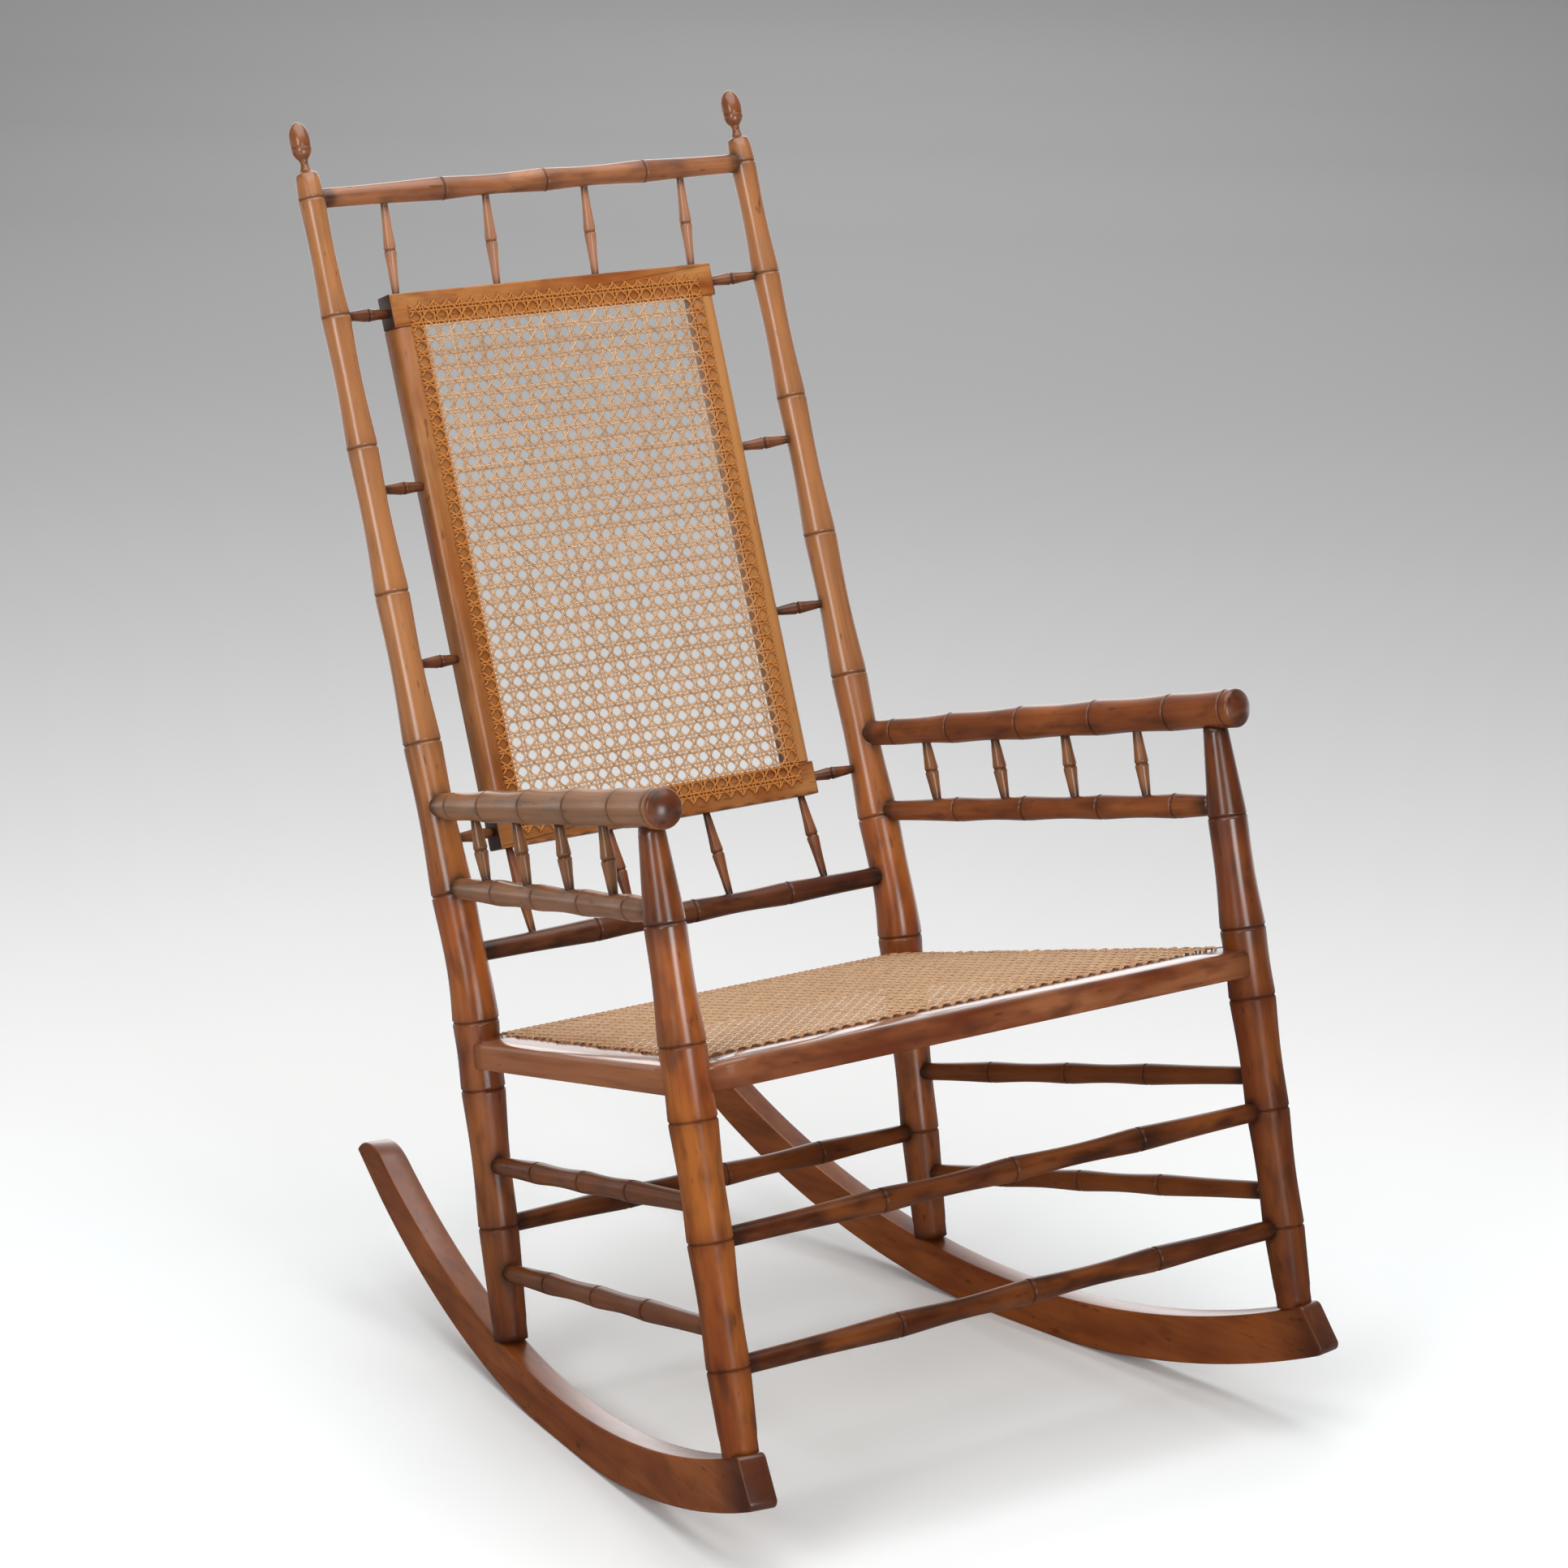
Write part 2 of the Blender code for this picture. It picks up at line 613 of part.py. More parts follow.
def acorn(base):
    """Stations of the shoulder, neck, cup and nut above the crest rail's ring."""
    shoulder = base + SHOULDER_RISE
    neck = shoulder + SHOULDER_SLOPE
    cup = neck + NECK_LENGTH
    nut = cup + CUP_LENGTH
    stations = [(shoulder, SHOULDER_RADIUS), (neck, NECK_FLARE_RADIUS), ((neck + cup) / 2, NECK_RADIUS),
                (cup, NECK_FLARE_RADIUS), (cup + CUP_FLARE_LENGTH, CUP_RADIUS), (nut, CUP_RADIUS)]
    widest = NUT_SHARES[0]
    for share in NUT_SHARES:
        narrowing = math.sqrt(1.0 - ((share - widest) / (1.0 - widest)) ** 2)
        stations.append((nut + NUT_LENGTH * share, NUT_RADIUS * narrowing))
    return [*stations, (nut + NUT_LENGTH, NUT_TIP_RADIUS)]


def back_rise(height):
    """Distance along the bent axis from the bend's corner at a height on its straight runs."""
    lean = LOWER_BACK_LEAN if height < BACK_BEND_HEIGHT else UPPER_BACK_LEAN
    straight = (height - BACK_BEND_HEIGHT) / math.cos(lean)
    saved = bend_reach - BACK_BEND_RADIUS * (UPPER_BACK_LEAN - LOWER_BACK_LEAN) / 2
    return straight - saved if straight > 0.0 else straight + saved


def add_back_post(label, side):
    point, normal = foot_plane(back_seat, back_seat_normal, side)
    foot_rise = back_rise(back_seat.y)
    rings = [(back_rise(height), radius) for height, radius in back_rings()]
    stations = [(foot_rise - FOOT_BLANK, BACK_FOOT_RADIUS), (foot_rise + BACK_FOOT_RADIUS, BACK_FOOT_RADIUS),
                *bamboo(rings), *acorn(rings[-1][0])]
    bm = bmesh.new()
    turn(bm, stations, POST_SIDES)
    foot = mirrored(back_axis(back_seat.y), side)
    for vert in bm.verts:
        centre, lean = back_place(vert.co.z)
        across = Vector((0.0, math.cos(lean), -math.sin(lean)))
        vert.co = Vector((vert.co.x, 0.0, 0.0)) + centre + across * vert.co.y - Vector((0.0, foot.y, foot.z))
    axis = lean_vector(LOWER_BACK_LEAN)
    seat_foot(bm, point - foot, normal, axis, BACK_FOOT_RADIUS)
    piece = add_piece(f"back_post_{label}", bm, "post")
    piece.location = foot
    add_foot_mortise(label, foot, axis)


# Arms, arm rails and stretchers

def add_arm(label, side):
    host, back_joint, cover = on_back(label, ARM_BACK_HEIGHT)
    front_joint = mirrored(front_axis(ARM_FRONT_HEIGHT), side)
    run = (front_joint - back_joint).normalized()
    tip = back_joint + run * (cover - RAIL_TENON_DEPTH)
    span = (front_joint - back_joint).length
    base = cover - RAIL_TENON_DEPTH
    rings = [(span * share - base, radius) for share, radius in zip(ARM_RINGS, ARM_RING_RADII)]
    end = span - base + ARM_OVERHANG
    stations = [(0.0, ARM_TENON_RADIUS), (RAIL_TENON_DEPTH + SOCKET_LIP, ARM_TENON_RADIUS), *bamboo(rings),
                *rounded_end(end, arm_front_radius, ARM_END_ROUND)]
    place = along(tip, run)
    bm = bmesh.new()
    turn(bm, stations, POST_SIDES)
    piece = add_piece(f"arm_{label}", bm, "arm")
    piece.matrix_basis = place
    add_mortise(host, place, RAIL_TENON_DEPTH, ARM_TENON_RADIUS, POST_SIDES)


def arm_point(label, share):
    return between(mirrored(back_axis(ARM_BACK_HEIGHT), SIDES[label]),
                   mirrored(front_axis(ARM_FRONT_HEIGHT), SIDES[label]), share)


def arm_rail_point(label, share):
    return between(mirrored(back_axis(arm_rail_back_height), SIDES[label]),
                   mirrored(front_axis(arm_rail_front_height), SIDES[label]), share)


def add_arm_rail(label):
    tenoned(f"arm_rail_{label}", on_back(label, arm_rail_back_height), on_front(label, arm_rail_front_height),
            RAIL_TENON_DEPTH, ARM_RAIL_END_RADIUS, ARM_RAIL_RING_RADIUS, ARM_RAIL_RINGS, RAIL_SIDES, "arm")


def add_arm_spindles(label):
    arm_profile = list(zip(ARM_RINGS, ARM_RING_RADII))
    span = (arm_point(label, 1.0) - arm_point(label, 0.0)).length
    for number in range(1, ARM_SPINDLES + 1):
        share = number / (ARM_SPINDLES + 1) - ARM_SPINDLE_SETBACK / span
        top = f"arm_{label}", arm_point(label, share), read_radius(arm_profile, share)
        bottom = f"arm_rail_{label}", arm_rail_point(label, share), ARM_RAIL_RING_RADIUS
        tenoned(f"arm_spindle_{label}_{number}", bottom, top, SPINDLE_TENON_DEPTH, ARM_SPINDLE_END_RADIUS,
                ARM_SPINDLE_RING_RADIUS, (0.5,), SPINDLE_SIDES, "arm")


def add_stretchers():
    for position, height in zip(("lower", "upper"), FRONT_STRETCHER_HEIGHTS):
        tenoned(f"front_stretcher_{position}", on_front("right", height), on_front("left", height),
                RAIL_TENON_DEPTH, STRETCHER_END_RADIUS, STRETCHER_RING_RADIUS, QUARTER_RINGS, RAIL_SIDES,
                "stretcher")
    tenoned("back_stretcher", on_back("right", BACK_STRETCHER_HEIGHT), on_back("left", BACK_STRETCHER_HEIGHT),
            RAIL_TENON_DEPTH, SIDE_STRETCHER_END_RADIUS, STRETCHER_RING_RADIUS, QUARTER_RINGS, RAIL_SIDES,
            "stretcher")
    for label in SIDES:
        heights = zip(("lower", "upper"), SIDE_STRETCHER_BACK_HEIGHTS, SIDE_STRETCHER_FRONT_HEIGHTS)
        for position, back_height, front_height in heights:
            tenoned(f"side_stretcher_{label}_{position}", on_back(label, back_height),
                    on_front(label, front_height), RAIL_TENON_DEPTH, SIDE_STRETCHER_END_RADIUS,
                    SIDE_STRETCHER_RING_RADIUS, SIDE_RINGS, RAIL_SIDES, "stretcher")


# Back rails, spindles and caned panel

def on_upper_back(label, rise):
    return on_back(label, back_point(0.0, rise).z)


def add_back_rails():
    for name, rise in (("crest_rail", crest_rail_rise), ("lower_back_rail", LOWER_RAIL_RISE)):
        tenoned(name, on_upper_back("right", rise), on_upper_back("left", rise), RAIL_TENON_DEPTH,
                BACK_RAIL_END_RADIUS, BACK_RAIL_RING_RADIUS, QUARTER_RINGS, RAIL_SIDES, "rail")


def add_back_spindles():
    for number in range(1, BACK_SPINDLES + 1):
        across = (number - (BACK_SPINDLES + 1) / 2) * spindle_pitch
        crest = "crest_rail", back_point(across, crest_rail_rise), BACK_RAIL_RING_RADIUS
        top_rail = "panel_top_rail", panel_point(across, panel_top_rise), 0.0
        tenoned(f"crest_spindle_{number}", top_rail, crest, SPINDLE_TENON_DEPTH, BACK_SPINDLE_END_RADIUS,
                BACK_SPINDLE_RING_RADIUS, (0.5,), SPINDLE_SIDES, "rail")
        low_rail = "panel_bottom_rail", panel_point(across, panel_low_rise), 0.0
        bottom = "lower_back_rail", back_point(across, LOWER_RAIL_RISE), BACK_RAIL_RING_RADIUS
        tenoned(f"lower_spindle_{number}", bottom, low_rail, SPINDLE_TENON_DEPTH, BACK_SPINDLE_END_RADIUS,
                BACK_SPINDLE_RING_RADIUS, (0.5,), SPINDLE_SIDES, "rail")


def panel_host(rise, label):
    """Piece of the panel frame that a side spindle at this rise runs into."""
    from_centre = rise - panel_centre_rise
    inner = PANEL_HEIGHT / 2 - PANEL_RAIL_WIDTH
    if from_centre > inner:
        return "panel_top_rail"
    return "panel_bottom_rail" if from_centre < -inner else f"panel_stile_{label}"


def add_side_spindles(label, side):
    for number in range(1, SIDE_SPINDLES + 1):
        rise = panel_low_rise + SIDE_SPINDLE_INSET + (number - 1) * side_spindle_pitch
        panel = panel_host(rise, label), panel_point(panel_width / 2 * side, rise), 0.0
        tenoned(f"side_spindle_{label}_{number}", on_upper_back(label, rise), panel, SPINDLE_TENON_DEPTH,
                SIDE_SPINDLE_END_RADIUS, SIDE_SPINDLE_RING_RADIUS, (0.5,), SPINDLE_SIDES, "rail")


def box(bm, low, high):
    """Adds an upright box between two corners."""
    size = Vector(high) - Vector(low)
    place = Matrix.Translation((Vector(low) + Vector(high)) / 2) @ Matrix.Diagonal((*size, 1.0))
    bmesh.ops.create_cube(bm, size=1.0, matrix=place)


def add_panel():
    back_frame = bpy.data.objects.new("back_plane", None)
    back_frame.parent = root
    back_frame.location = panel_point(0.0, panel_centre_rise)
    back_frame.rotation_euler = (-UPPER_BACK_LEAN, 0.0, 0.0)
    bpy.context.collection.objects.link(back_frame)
    wide, deep, tall = panel_width / 2, PANEL_THICKNESS / 2, PANEL_HEIGHT / 2
    inner = tall - PANEL_RAIL_WIDTH
    tenon_across = wide - PANEL_STILE_WIDTH / 2
    tenon_half = STILE_TENON_WIDTH / 2
    tenon_deep = STILE_TENON_THICKNESS / 2
    for name, turned_over in (("panel_top_rail", 1), ("panel_bottom_rail", -1)):
        bm = bmesh.new()
        edges = sorted((inner * turned_over, tall * turned_over))
        box(bm, (-wide, -deep, edges[0]), (wide, deep, edges[1]))
        rail = add_piece(name, bm, "panel", back_frame, smooth=False)
        hollow = bmesh.new()
        for side in SIDES.values():
            ends = sorted(((inner - CUT_MARGIN) * turned_over,
                           (inner + STILE_TENON_LENGTH + CLEARANCE) * turned_over))
            low_x = tenon_across * side - tenon_half - CLEARANCE
            high_x = tenon_across * side + tenon_half + CLEARANCE
            box(hollow, (low_x, -tenon_deep - CLEARANCE, ends[0]), (high_x, tenon_deep + CLEARANCE, ends[1]))
        combine(rail, add_tool(f"{name}_stile_mortises", hollow, back_frame), "DIFFERENCE")
    for label, side in SIDES.items():
        bm = bmesh.new()
        length = inner - CLEARANCE
        box(bm, ((wide - PANEL_STILE_WIDTH), -deep, -length), (wide, deep, length))
        nose = [edge for edge in bm.edges
                if all(vert.co.x > wide - CLEARANCE and vert.co.y < 0.0 for vert in edge.verts)]
        bmesh.ops.bevel(bm, geom=nose, offset=STILE_ROUND, segments=3, profile=0.5, affect="EDGES")
        bmesh.ops.scale(bm, vec=(side, 1.0, 1.0), verts=bm.verts[:])
        stile = add_piece(f"panel_stile_{label}", bm, "panel", back_frame)
        tenons = bmesh.new()
        box(tenons, (tenon_across * side - tenon_half, -tenon_deep, -inner - STILE_TENON_LENGTH),
            (tenon_across * side + tenon_half, tenon_deep, inner + STILE_TENON_LENGTH))
        combine(stile, add_tool(f"panel_stile_{label}_tenons", tenons, back_frame), "UNION")
    reach = (wide - PANEL_STILE_WIDTH, inner)
    border = corners(reach[0] + BACK_CANE_SIDE_BORDER, reach[0] + BACK_CANE_SIDE_BORDER,
                     -reach[1] - BACK_CANE_END_BORDER, reach[1] + BACK_CANE_END_BORDER)
    opening = corners(reach[0], reach[0], -reach[1], reach[1])
    cane = add_net("back_cane", border, opening, BACK_CANE_COLUMNS, BACK_CANE_ROWS, back_frame)
    cane.location = (0.0, -deep - CLEARANCE, 0.0)
    cane.rotation_euler = (math.pi / 2, 0.0, 0.0)


# Cane nets

def corners(front_half, back_half, front, back):
    """Corners of a trapezoid that is symmetric about Y."""
    return [Vector((-front_half, front)), Vector((front_half, front)),
            Vector((back_half, back)), Vector((-back_half, back))]


def blend(quad, across, deep):
    front = between(quad[0], quad[1], across)
    back = between(quad[3], quad[2], across)
    return between(front, back, deep)


def add_net(name, border, opening, columns, rows, parent):
    """Flat cane net with a plain border over the frame and open cells inside."""
    bm = bmesh.new()
    bmesh.ops.create_grid(bm, x_segments=columns + 2, y_segments=rows + 2, size=1.0)
    stride = columns + 3
    inside = set()
    for index, vert in enumerate(bm.verts):
        column = min(max(index % stride - 1, 0), columns) / columns
        row = min(max(index // stride - 1, 0), rows) / rows
        edge = index % stride in (0, columns + 2) or index // stride in (0, rows + 2)
        place = blend(border if edge else opening, column, row)
        vert.co = (place.x, place.y, 0.0)
        if not edge:
            inside.add(vert)
    cells = [face for face in bm.faces if all(vert in inside for vert in face.verts)]
    bmesh.ops.inset_individual(bm, faces=cells, thickness=CANE_STRAND / 2, use_even_offset=True)
    bmesh.ops.delete(bm, geom=cells, context="FACES")
    net = add_piece(name, bm, "cane", parent, smooth=False)
    solid = net.modifiers.new("thickness", "SOLIDIFY")
    solid.thickness = CANE_THICKNESS
    solid.offset = 1.0
    return net


# Seat frame

def seat_half(depth, offset):
    """Half width of the seat at a depth, offset square to the line between the posts."""
    taper = (FRONT_POST_SPREAD - BACK_POST_SPREAD) / 2
    slant = math.hypot(taper, seat_depth) / seat_depth
    return FRONT_POST_SPREAD / 2 - taper * depth / seat_depth + offset * slant


def seat_corners(inset):
    front = -SEAT_FRONT_OFFSET + inset
    back = seat_depth + SEAT_BACK_OFFSET - inset
    offset = SEAT_SIDE_OFFSET - inset
    return corners(seat_half(front, offset), seat_half(back, offset), front, back)


def add_seat_rail(name, first, last, post_clearance, seat_frame):
    """Rail along one outer edge of the seat, mitred at its ends and tenoned into two posts."""
    outer, inner = seat_corners(0.0), seat_corners(SEAT_RAIL_WIDTH)
    posts = seat_posts()
    run = (outer[last] - outer[first]).normalized()
    trim = run * MITRE_GAP
    start, end = posts[first][1], posts[last][1]
    outline = [outer[first] + run * (start - outer[first]).dot(run),
               outer[last] - run * (outer[last] - end).dot(run),
               end - trim, inner[last] - trim, inner[first] + trim, start + trim]
    bm = bmesh.new()
    half = SEAT_RAIL_THICKNESS / 2
    base = bm.faces.new([bm.verts.new((point.x, point.y, -half)) for point in outline])
    raised = bmesh.ops.extrude_face_region(bm, geom=[base])["geom"]
    moved = [item for item in raised if isinstance(item, bmesh.types.BMVert)]
    bmesh.ops.translate(bm, vec=(0.0, 0.0, SEAT_RAIL_THICKNESS), verts=moved)
    ends = [(outline[0] - vert.co.xy).length for vert in moved]
    start_vert = moved[ends.index(min(ends))]
    ends = [(outline[1] - vert.co.xy).length for vert in moved]
    end_vert = moved[ends.index(min(ends))]
    nose = [edge for edge in bm.edges if set(edge.verts) == {start_vert, end_vert}]
    bmesh.ops.bevel(bm, geom=nose, offset=SEAT_NOSE, segments=3, profile=0.5, affect="EDGES")
    rail = add_piece(name, bm, "seat", seat_frame)
    combine(rail, post_clearance, "DIFFERENCE")
    tenons = bmesh.new()
    for near, far in ((first, last), (last, first)):
        host, place, radius = posts[near]
        toward = (posts[far][1] - place).normalized()
        tip = place + toward * (radius - SEAT_TENON_DEPTH)
        length = SEAT_TENON_DEPTH + SEAT_TENON_ROOT
        frame = along(Vector((tip.x, tip.y, 0.0)), Vector((toward.x, toward.y, 0.0)))
        turn(tenons, [(0.0, SEAT_TENON_RADIUS), (length, SEAT_TENON_RADIUS)], RAIL_SIDES, frame)
        add_mortise(host, seat_matrix @ frame, SEAT_TENON_DEPTH, SEAT_TENON_RADIUS, RAIL_SIDES)
    combine(rail, add_tool(f"{name}_tenons", tenons, seat_frame), "UNION")


def seat_posts():
    """Host, place in the seat plane and radius of the post at each seat corner."""
    front, back = FRONT_POST_SPREAD / 2, BACK_POST_SPREAD / 2
    front_size, back_size = front_radius(SEAT_HEIGHT), back_radius(seat_back_height)
    return [("front_post_right", Vector((-front, 0.0)), front_size),
            ("front_post_left", Vector((front, 0.0)), front_size),
            ("back_post_left", Vector((back, seat_depth)), back_size),
            ("back_post_right", Vector((-back, seat_depth)), back_size)]


def add_post_clearance():
    """Room for the four posts where they pass the seat frame and its cane."""
    bm = bmesh.new()
    height = SEAT_RING_ABOVE + SEAT_RING_BELOW + 2 * CUT_MARGIN
    for side in SIDES.values():
        for axis, centre, run, radii in (
                (front_axis, SEAT_HEIGHT, front_run, FRONT_RING_RADII),
                (back_axis, seat_back_height, lean_vector(LOWER_BACK_LEAN), BACK_RING_RADII)):
            middle = mirrored(axis(centre), side)
            place = upright(middle - run * height / 2, run)
            hollow = grown(max(radii), POST_SIDES)
            turn(bm, [(0.0, hollow), (height, hollow)], POST_SIDES, place)
    return add_tool("post_clearance", bm)


def add_seat():
    seat_frame = bpy.data.objects.new("seat_plane", None)
    seat_frame.parent = root
    seat_frame.matrix_basis = seat_matrix
    bpy.context.collection.objects.link(seat_frame)
    post_clearance = add_post_clearance()
    rails = ("seat_front_rail", "seat_side_rail_left", "seat_back_rail", "seat_side_rail_right")
    for corner, name in enumerate(rails):
        add_seat_rail(name, corner, (corner + 1) % 4, post_clearance, seat_frame)
    border = seat_corners(SEAT_CANE_INSET)
    opening = seat_corners(SEAT_RAIL_WIDTH)
    cane = add_net("seat_cane", border, opening, SEAT_CANE_COLUMNS, SEAT_CANE_ROWS, seat_frame)
    cane.location = (0.0, 0.0, SEAT_RAIL_THICKNESS / 2 + CLEARANCE)
    combine(cane, post_clearance, "DIFFERENCE")


# Whole chair

def cut_mortises():
    for host, bm in mortises.items():
        combine(nodes[host], add_tool(f"{host}_mortises", bm), "DIFFERENCE")


def centre_chair():
    """Moves the root so that the chair's bounding box is centred front to back."""
    bpy.context.view_layer.update()
    depths = [(piece.matrix_world @ vert.co).y for piece in nodes.values() for vert in piece.data.vertices]
    root.location.y = -(min(depths) + max(depths)) / 2


for label, side in SIDES.items():
    add_rocker(label, side)
    add_front_post(label, side)
    add_back_post(label, side)
    add_arm(label, side)
    add_arm_rail(label)
    add_arm_spindles(label)
    add_side_spindles(label, side)
add_stretchers()
add_back_rails()
add_back_spindles()
add_panel()
add_seat()
cut_mortises()
centre_chair()
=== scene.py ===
import math
import bpy
import numpy as np
from mathutils import Matrix, Vector


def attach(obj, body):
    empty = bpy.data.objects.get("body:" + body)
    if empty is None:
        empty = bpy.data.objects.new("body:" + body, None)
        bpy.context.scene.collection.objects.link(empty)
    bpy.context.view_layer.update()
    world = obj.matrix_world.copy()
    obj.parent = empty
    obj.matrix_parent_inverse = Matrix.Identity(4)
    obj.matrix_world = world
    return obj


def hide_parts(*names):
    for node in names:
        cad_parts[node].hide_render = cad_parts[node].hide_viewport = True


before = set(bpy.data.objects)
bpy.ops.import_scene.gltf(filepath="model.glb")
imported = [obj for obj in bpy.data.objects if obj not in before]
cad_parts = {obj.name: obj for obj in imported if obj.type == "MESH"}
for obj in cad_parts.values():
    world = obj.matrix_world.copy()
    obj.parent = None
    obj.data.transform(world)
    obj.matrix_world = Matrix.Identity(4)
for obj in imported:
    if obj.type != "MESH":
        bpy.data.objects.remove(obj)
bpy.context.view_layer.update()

print("frame:", len(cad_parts), "nodes")


# a socket in a node tree: sums on values add Math nodes
class Wire:
    def __init__(self, tree, socket=None):
        self.tree, self.socket = tree, socket

    def add(self, kind, settings=None, inputs=None, output=0):
        node = self.tree.nodes.new(kind)
        for name, value in (settings or {}).items():
            if name == "stops":
                ramp = node.color_ramp
                while len(ramp.elements) < len(value):
                    ramp.elements.new(0.5)
                for stop, (place, shade) in zip(ramp.elements, value):
                    stop.position, stop.color = place, (shade, shade, shade, 1)
            else:
                setattr(node, name, value)
        self.plug(node, inputs or {})
        return Wire(self.tree, node.outputs[output])

    def plug(self, node, inputs):
        for name, value in inputs.items():
            if isinstance(value, Wire):
                self.tree.links.new(value.socket, node.inputs[name])
            else:
                node.inputs[name].default_value = value

    def maths(self, operation, first, second):
        return self.add("ShaderNodeMath", {"operation": operation}, {0: first, 1: second})

    def __add__(self, other):
        return self.maths("ADD", self, other)

    def __sub__(self, other):
        return self.maths("SUBTRACT", self, other)

    def __rsub__(self, other):
        return self.maths("SUBTRACT", other, self)

    def __mul__(self, other):
        return self.maths("MULTIPLY", self, other)

    def __pow__(self, other):
        return self.maths("POWER", self, other)

    def __rpow__(self, other):
        return self.maths("POWER", other, self)

    __radd__, __rmul__ = __add__, __mul__

    def ramp(self, *stops):
        return self.add("ShaderNodeValToRGB", {"stops": stops}, {"Fac": self})

    def mark(self, name, output="Fac"):
        return self.add("ShaderNodeAttribute", {"attribute_name": name}, output=output)

    def scaled(self, size):
        return self.add("ShaderNodeVectorMath", {"operation": "MULTIPLY"}, {0: self, 1: size})

    def dot(self, way):
        return self.add("ShaderNodeVectorMath", {"operation": "DOT_PRODUCT"}, {0: self, 1: way}, "Value")

    def noise(self, scale, detail):
        inputs = {"Vector": self.scaled(scale), "Scale": 1.0, "Detail": detail}
        return self.add("ShaderNodeTexNoise", None, inputs)

    def between(self, first, second, blend="MIX"):
        # two colours, mixed by this value
        settings = {"data_type": "RGBA", "blend_type": blend}
        return self.add("ShaderNodeMix", settings, {0: self, 6: first, 7: second}, 2)

    def blended(self, other, share, blend="MIX"):
        return share.between(self, other, blend)


def tint(red, green, blue):
    # sRGB levels 0-255 to a linear colour
    line = [v / 255 for v in (red, green, blue)]
    return tuple(v / 12.92 if v < 0.04045 else ((v + 0.055) / 1.055) ** 2.4 for v in line) + (1.0,)


def newMaterial(name):
    material = bpy.data.materials.new(name)
    material.use_nodes = True
    return material, Wire(material.node_tree), material.node_tree.nodes["Principled BSDF"]


# camera at the photograph's angle
shot = {"eye": (-2.5730, -3.3585, 1.7166), "forward": (0.5867, 0.7629, -0.2715),
        "right": (0.7977, -0.6022, 0.0316), "lens": 117.39, "sensor": 36.0}


def addCamera():
    data = bpy.data.cameras.new("camera")
    data.lens, data.sensor_width = shot["lens"], shot["sensor"]
    camera = bpy.data.objects.new("camera", data)
    bpy.context.collection.objects.link(camera)
    forward = Vector(shot["forward"]).normalized()
    up = Vector(shot["right"]).cross(forward).normalized()
    turned = Matrix((forward.cross(up), up, -forward)).transposed().to_4x4()
    camera.matrix_world = Matrix.Translation(shot["eye"]) @ turned
    bpy.context.scene.camera = camera
    bpy.context.scene.view_settings.view_transform = "Standard"


# studio: a dome, a softbox overhead, two tall ones that draw the streaks on the posts, a wash far behind
studio = {
    "dome": ((0.0, 0.13), (0.45, 0.13), (0.72, 0.22), (0.90, 0.50), (0.97, 0.85), (1.0, 2.2)),
    "bright": (0.58, 0.80, 0.14),  # toward the dome's bright side, behind the chair
    # place, target, size, power and spread
    "lamps": {"overhead": ((-0.12, -0.10, 2.9), (0.0, -0.10, 0.3), (3.2, 3.2), 82, 180),
              "softLeft": ((-2.95, -1.49, 1.95), (0.0, 0.0, 0.8), (1.1, 1.4), 15, 120),
              "softRight": ((-0.66, -3.22, 1.0), (0.0, 0.0, 0.6), (1.1, 1.4), 19, 120),
              "wash": ((4.3, 5.5, 4.2), (4.3, 5.5, 0.0), (3.0, 3.0), 26, 100)}}


def addDome():
    world = bpy.data.worlds.new("dome")
    bpy.context.scene.world = world
    world.use_nodes = True
    wire = Wire(world.node_tree)
    facing = wire.add("ShaderNodeTexCoord", output="Generated").dot(studio["bright"])
    sky = (facing * 0.5 + 0.5).ramp(*studio["dome"])
    wire.plug(world.node_tree.nodes["Background"], {"Color": sky, "Strength": 1.0})


def addLamps():
    for name, (place, target, size, power, spread) in studio["lamps"].items():
        data = bpy.data.lights.new(name, "AREA")
        data.shape, data.size, data.size_y, data.energy = "RECTANGLE", size[0], size[1], power
        data.spread = math.radians(spread)
        lamp = bpy.data.objects.new(name, data)
        lamp.location = place
        lamp.rotation_euler = (Vector(target) - Vector(place)).to_track_quat("-Z", "Y").to_euler()
        lamp.visible_camera = False
        bpy.context.collection.objects.link(lamp)


# paper floor that greys away from the chair: stops are shares of its reach, and a tone
paper = {"size": 60.0, "reach": 10.0, "squeeze": 0.3, "rough": 0.9,
         "fade": ((0.0, 1.0), (0.05, 1.0), (0.10, 0.96), (0.16, 0.94), (0.30, 0.955), (0.38, 0.91),
                  (0.48, 0.79), (0.59, 0.65), (0.71, 0.59), (0.80, 0.63), (1.0, 0.86)),
         # the varnish mirrors dim paper near the chair and glowing paper far behind it
         "mirror": ((0.0, 0.75), (0.10, 0.75), (0.18, 0.0)), "behind": ((0.14, 0.0), (0.22, 0.6)),
         # a cool cast under the chair
         "cool": (0.965, 0.995, 1.0, 1.0), "coolReach": ((0.03, 1.0), (0.07, 0.0))}


